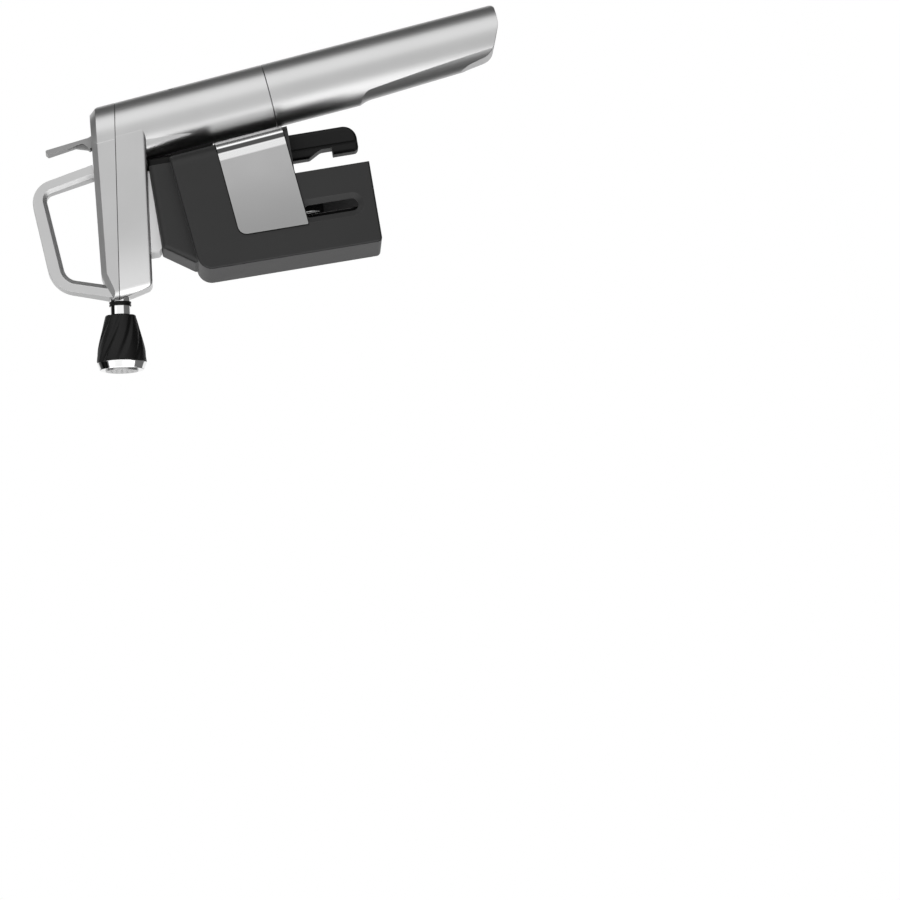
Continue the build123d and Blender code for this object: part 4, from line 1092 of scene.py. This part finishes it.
@dataclass
class Studio:
    """Camera, lights, world and floor."""

    lens: float = 400.0
    sensor: float = 36.0
    clip: tuple[float, float] = (0.05, 20.0)
    distance: float = 4.348
    aim: tuple[float, float, float] = (0.1128, 0.0, -0.0931)
    turn: float = 7.0            # degrees of the camera's stand from +Y towards +X
    height: float = 2.6          # degrees above level
    roll: float = 9.4            # degrees by which the needle's axis rises to the right
    floor_height: float = -0.305
    floor_radius: float = 0.34
    floor_colour: float = 0.9
    floor_glow: float = 0.95     # share of white in what the camera and metal see of the floor
    floor_mirrored: float = 0.10    # brightness of the floor as metal shows it
    surroundings: float = 0.02   # brightness of the dark between the fields
    soft_light: tuple[float, float, float] = (0.72, 0.25, 0.08)    # on matt pieces: even, from +X, from +Y
    lamp_centre: tuple[float, float, float] = (-0.02, 0.0, -0.03)
    lamps: tuple[Lamp, ...] = (
        Lamp("key", (0.75, 0.65, 0.25), 0.9, 0.6, 5.0),
        Lamp("fill", (-0.5, 0.8, 0.4), 1.1, 0.8, 3.5),
        Lamp("back", (-0.1, -0.9, 0.5), 1.1, 0.8, 3.5),
    )
    panels: tuple[Panel, ...] = (
        Panel((-75, 85), (-40, 62), 0.85, 8.0),                  # wide, on the left side
        Panel((-78, -22), (-60, 60), 0.50, 16.0),                # more of it towards the handle
        Panel((40, 92), (-60, 60), 1.15, 14.0),                  # and towards the spout
        Panel((-42, 26), (-50, 62), 0.80, 10.0, behind=True),    # on the right side
        Panel((-190, 190), (74, 100), 0.42, 8.0),                # overhead
        Panel((-190, 190), (-100, 70), 0.10, 8.0),               # dim, all round
    )

    def camera(self) -> None:
        """Places the camera."""
        turn, height, roll = (math.radians(angle) for angle in (self.turn, self.height, self.roll))
        back = Vector((math.sin(turn) * math.cos(height), math.cos(turn) * math.cos(height), math.sin(height)))
        along = Vector((0, 0, -1))
        along = (along - along.dot(back) * back).normalized()
        right = math.cos(roll) * along - math.sin(roll) * back.cross(along)
        up = back.cross(right)
        place = Vector(self.aim) + self.distance * back
        data = bpy.data.cameras.new("camera")
        data.lens, data.sensor_width, data.sensor_height = self.lens, self.sensor, self.sensor
        data.clip_start, data.clip_end = self.clip
        camera = bpy.data.objects.new("camera", data)
        turned = Matrix((right, up, back)).transposed().to_4x4()
        camera.matrix_world = Matrix.Translation(place) @ turned
        bpy.context.scene.collection.objects.link(camera)
        bpy.context.scene.camera = camera

    def world(self) -> None:
        """Makes a white world for the camera and a studio of soft fields for metal."""
        world = bpy.data.worlds.new("studio")
        bpy.context.scene.world = world
        graph = Graph(world)
        way = graph.node("ShaderNodeTexCoord", {}, {}, "Generated")
        seen = graph.node("ShaderNodeLightPath", {}, {}, "Is Camera Ray")
        mirrored = graph.node("ShaderNodeLightPath", {}, {}, "Is Glossy Ray")
        ahead = graph.axes(way)
        turn = ahead[0].degrees("ARCTAN2", ahead[1])
        turn_behind = ahead[0].degrees("ARCTAN2", ahead[1] * -1.0)
        height = ahead[2].degrees("ARCSINE")
        glow: Any = self.surroundings
        for panel in self.panels:
            glow = panel.light(turn, turn_behind, height) + glow
        even, front, left = self.soft_light
        soft = even + ahead[0] * front + ahead[1] * left
        strength = seen + (1 - seen) * (mirrored * glow + (1 - mirrored) * soft)
        back = graph.node("ShaderNodeBackground", {}, {"Color": (1, 1, 1, 1), "Strength": strength})
        graph.node("ShaderNodeOutputWorld", {}, {"Surface": back})

    def floor(self) -> None:
        """Lays a pale floor where the bottle would stand."""
        bpy.ops.object.select_all(action="DESELECT")
        bpy.ops.mesh.primitive_circle_add(vertices=96, radius=self.floor_radius, fill_type="NGON",
                                          location=(0, 0, self.floor_height))
        floor = bpy.context.active_object
        floor.name = "floor"
        material = bpy.data.materials.new("floor")
        graph = Graph(material)
        seen = graph.node("ShaderNodeLightPath", {}, {}, "Is Camera Ray")
        mirrored = graph.node("ShaderNodeLightPath", {}, {}, "Is Glossy Ray")
        matt = graph.node("ShaderNodeBsdfDiffuse", {}, {"Color": grey(self.floor_colour)})
        strength = seen + mirrored * self.floor_mirrored
        white = graph.node("ShaderNodeEmission", {}, {"Color": grey(1.0), "Strength": strength})
        share = (seen + mirrored) * self.floor_glow
        surface = graph.node("ShaderNodeMixShader", {}, {0: share, 1: matt, 2: white})
        graph.node("ShaderNodeOutputMaterial", {}, {"Surface": surface})
        floor.data.materials.append(material)

    def build(self) -> None:
        """Sets up the whole studio."""
        bpy.context.scene.view_settings.view_transform = "Standard"
        self.camera()
        self.world()
        self.floor()
        for lamp in self.lamps:
            lamp.hang(Vector(self.lamp_centre))
        log.info("studio ready")


def main() -> None:
    """Loads the frame, dresses every assembly and sets up the studio."""
    logging.basicConfig(level=logging.INFO, format="%(name)s: %(message)s")
    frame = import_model()
    bpy.ops.object.select_all(action="DESELECT")
    wardrobe = Wardrobe()
    for assembly in (Head(wardrobe), Handle(wardrobe), GasWorks(wardrobe), PouringWay(wardrobe),
                     Aerator(wardrobe), Clamp(wardrobe)):
        assembly.dress(frame["nodes"])
        assembly.build()
    Studio().build()


if __name__ == "__main__":
    main()
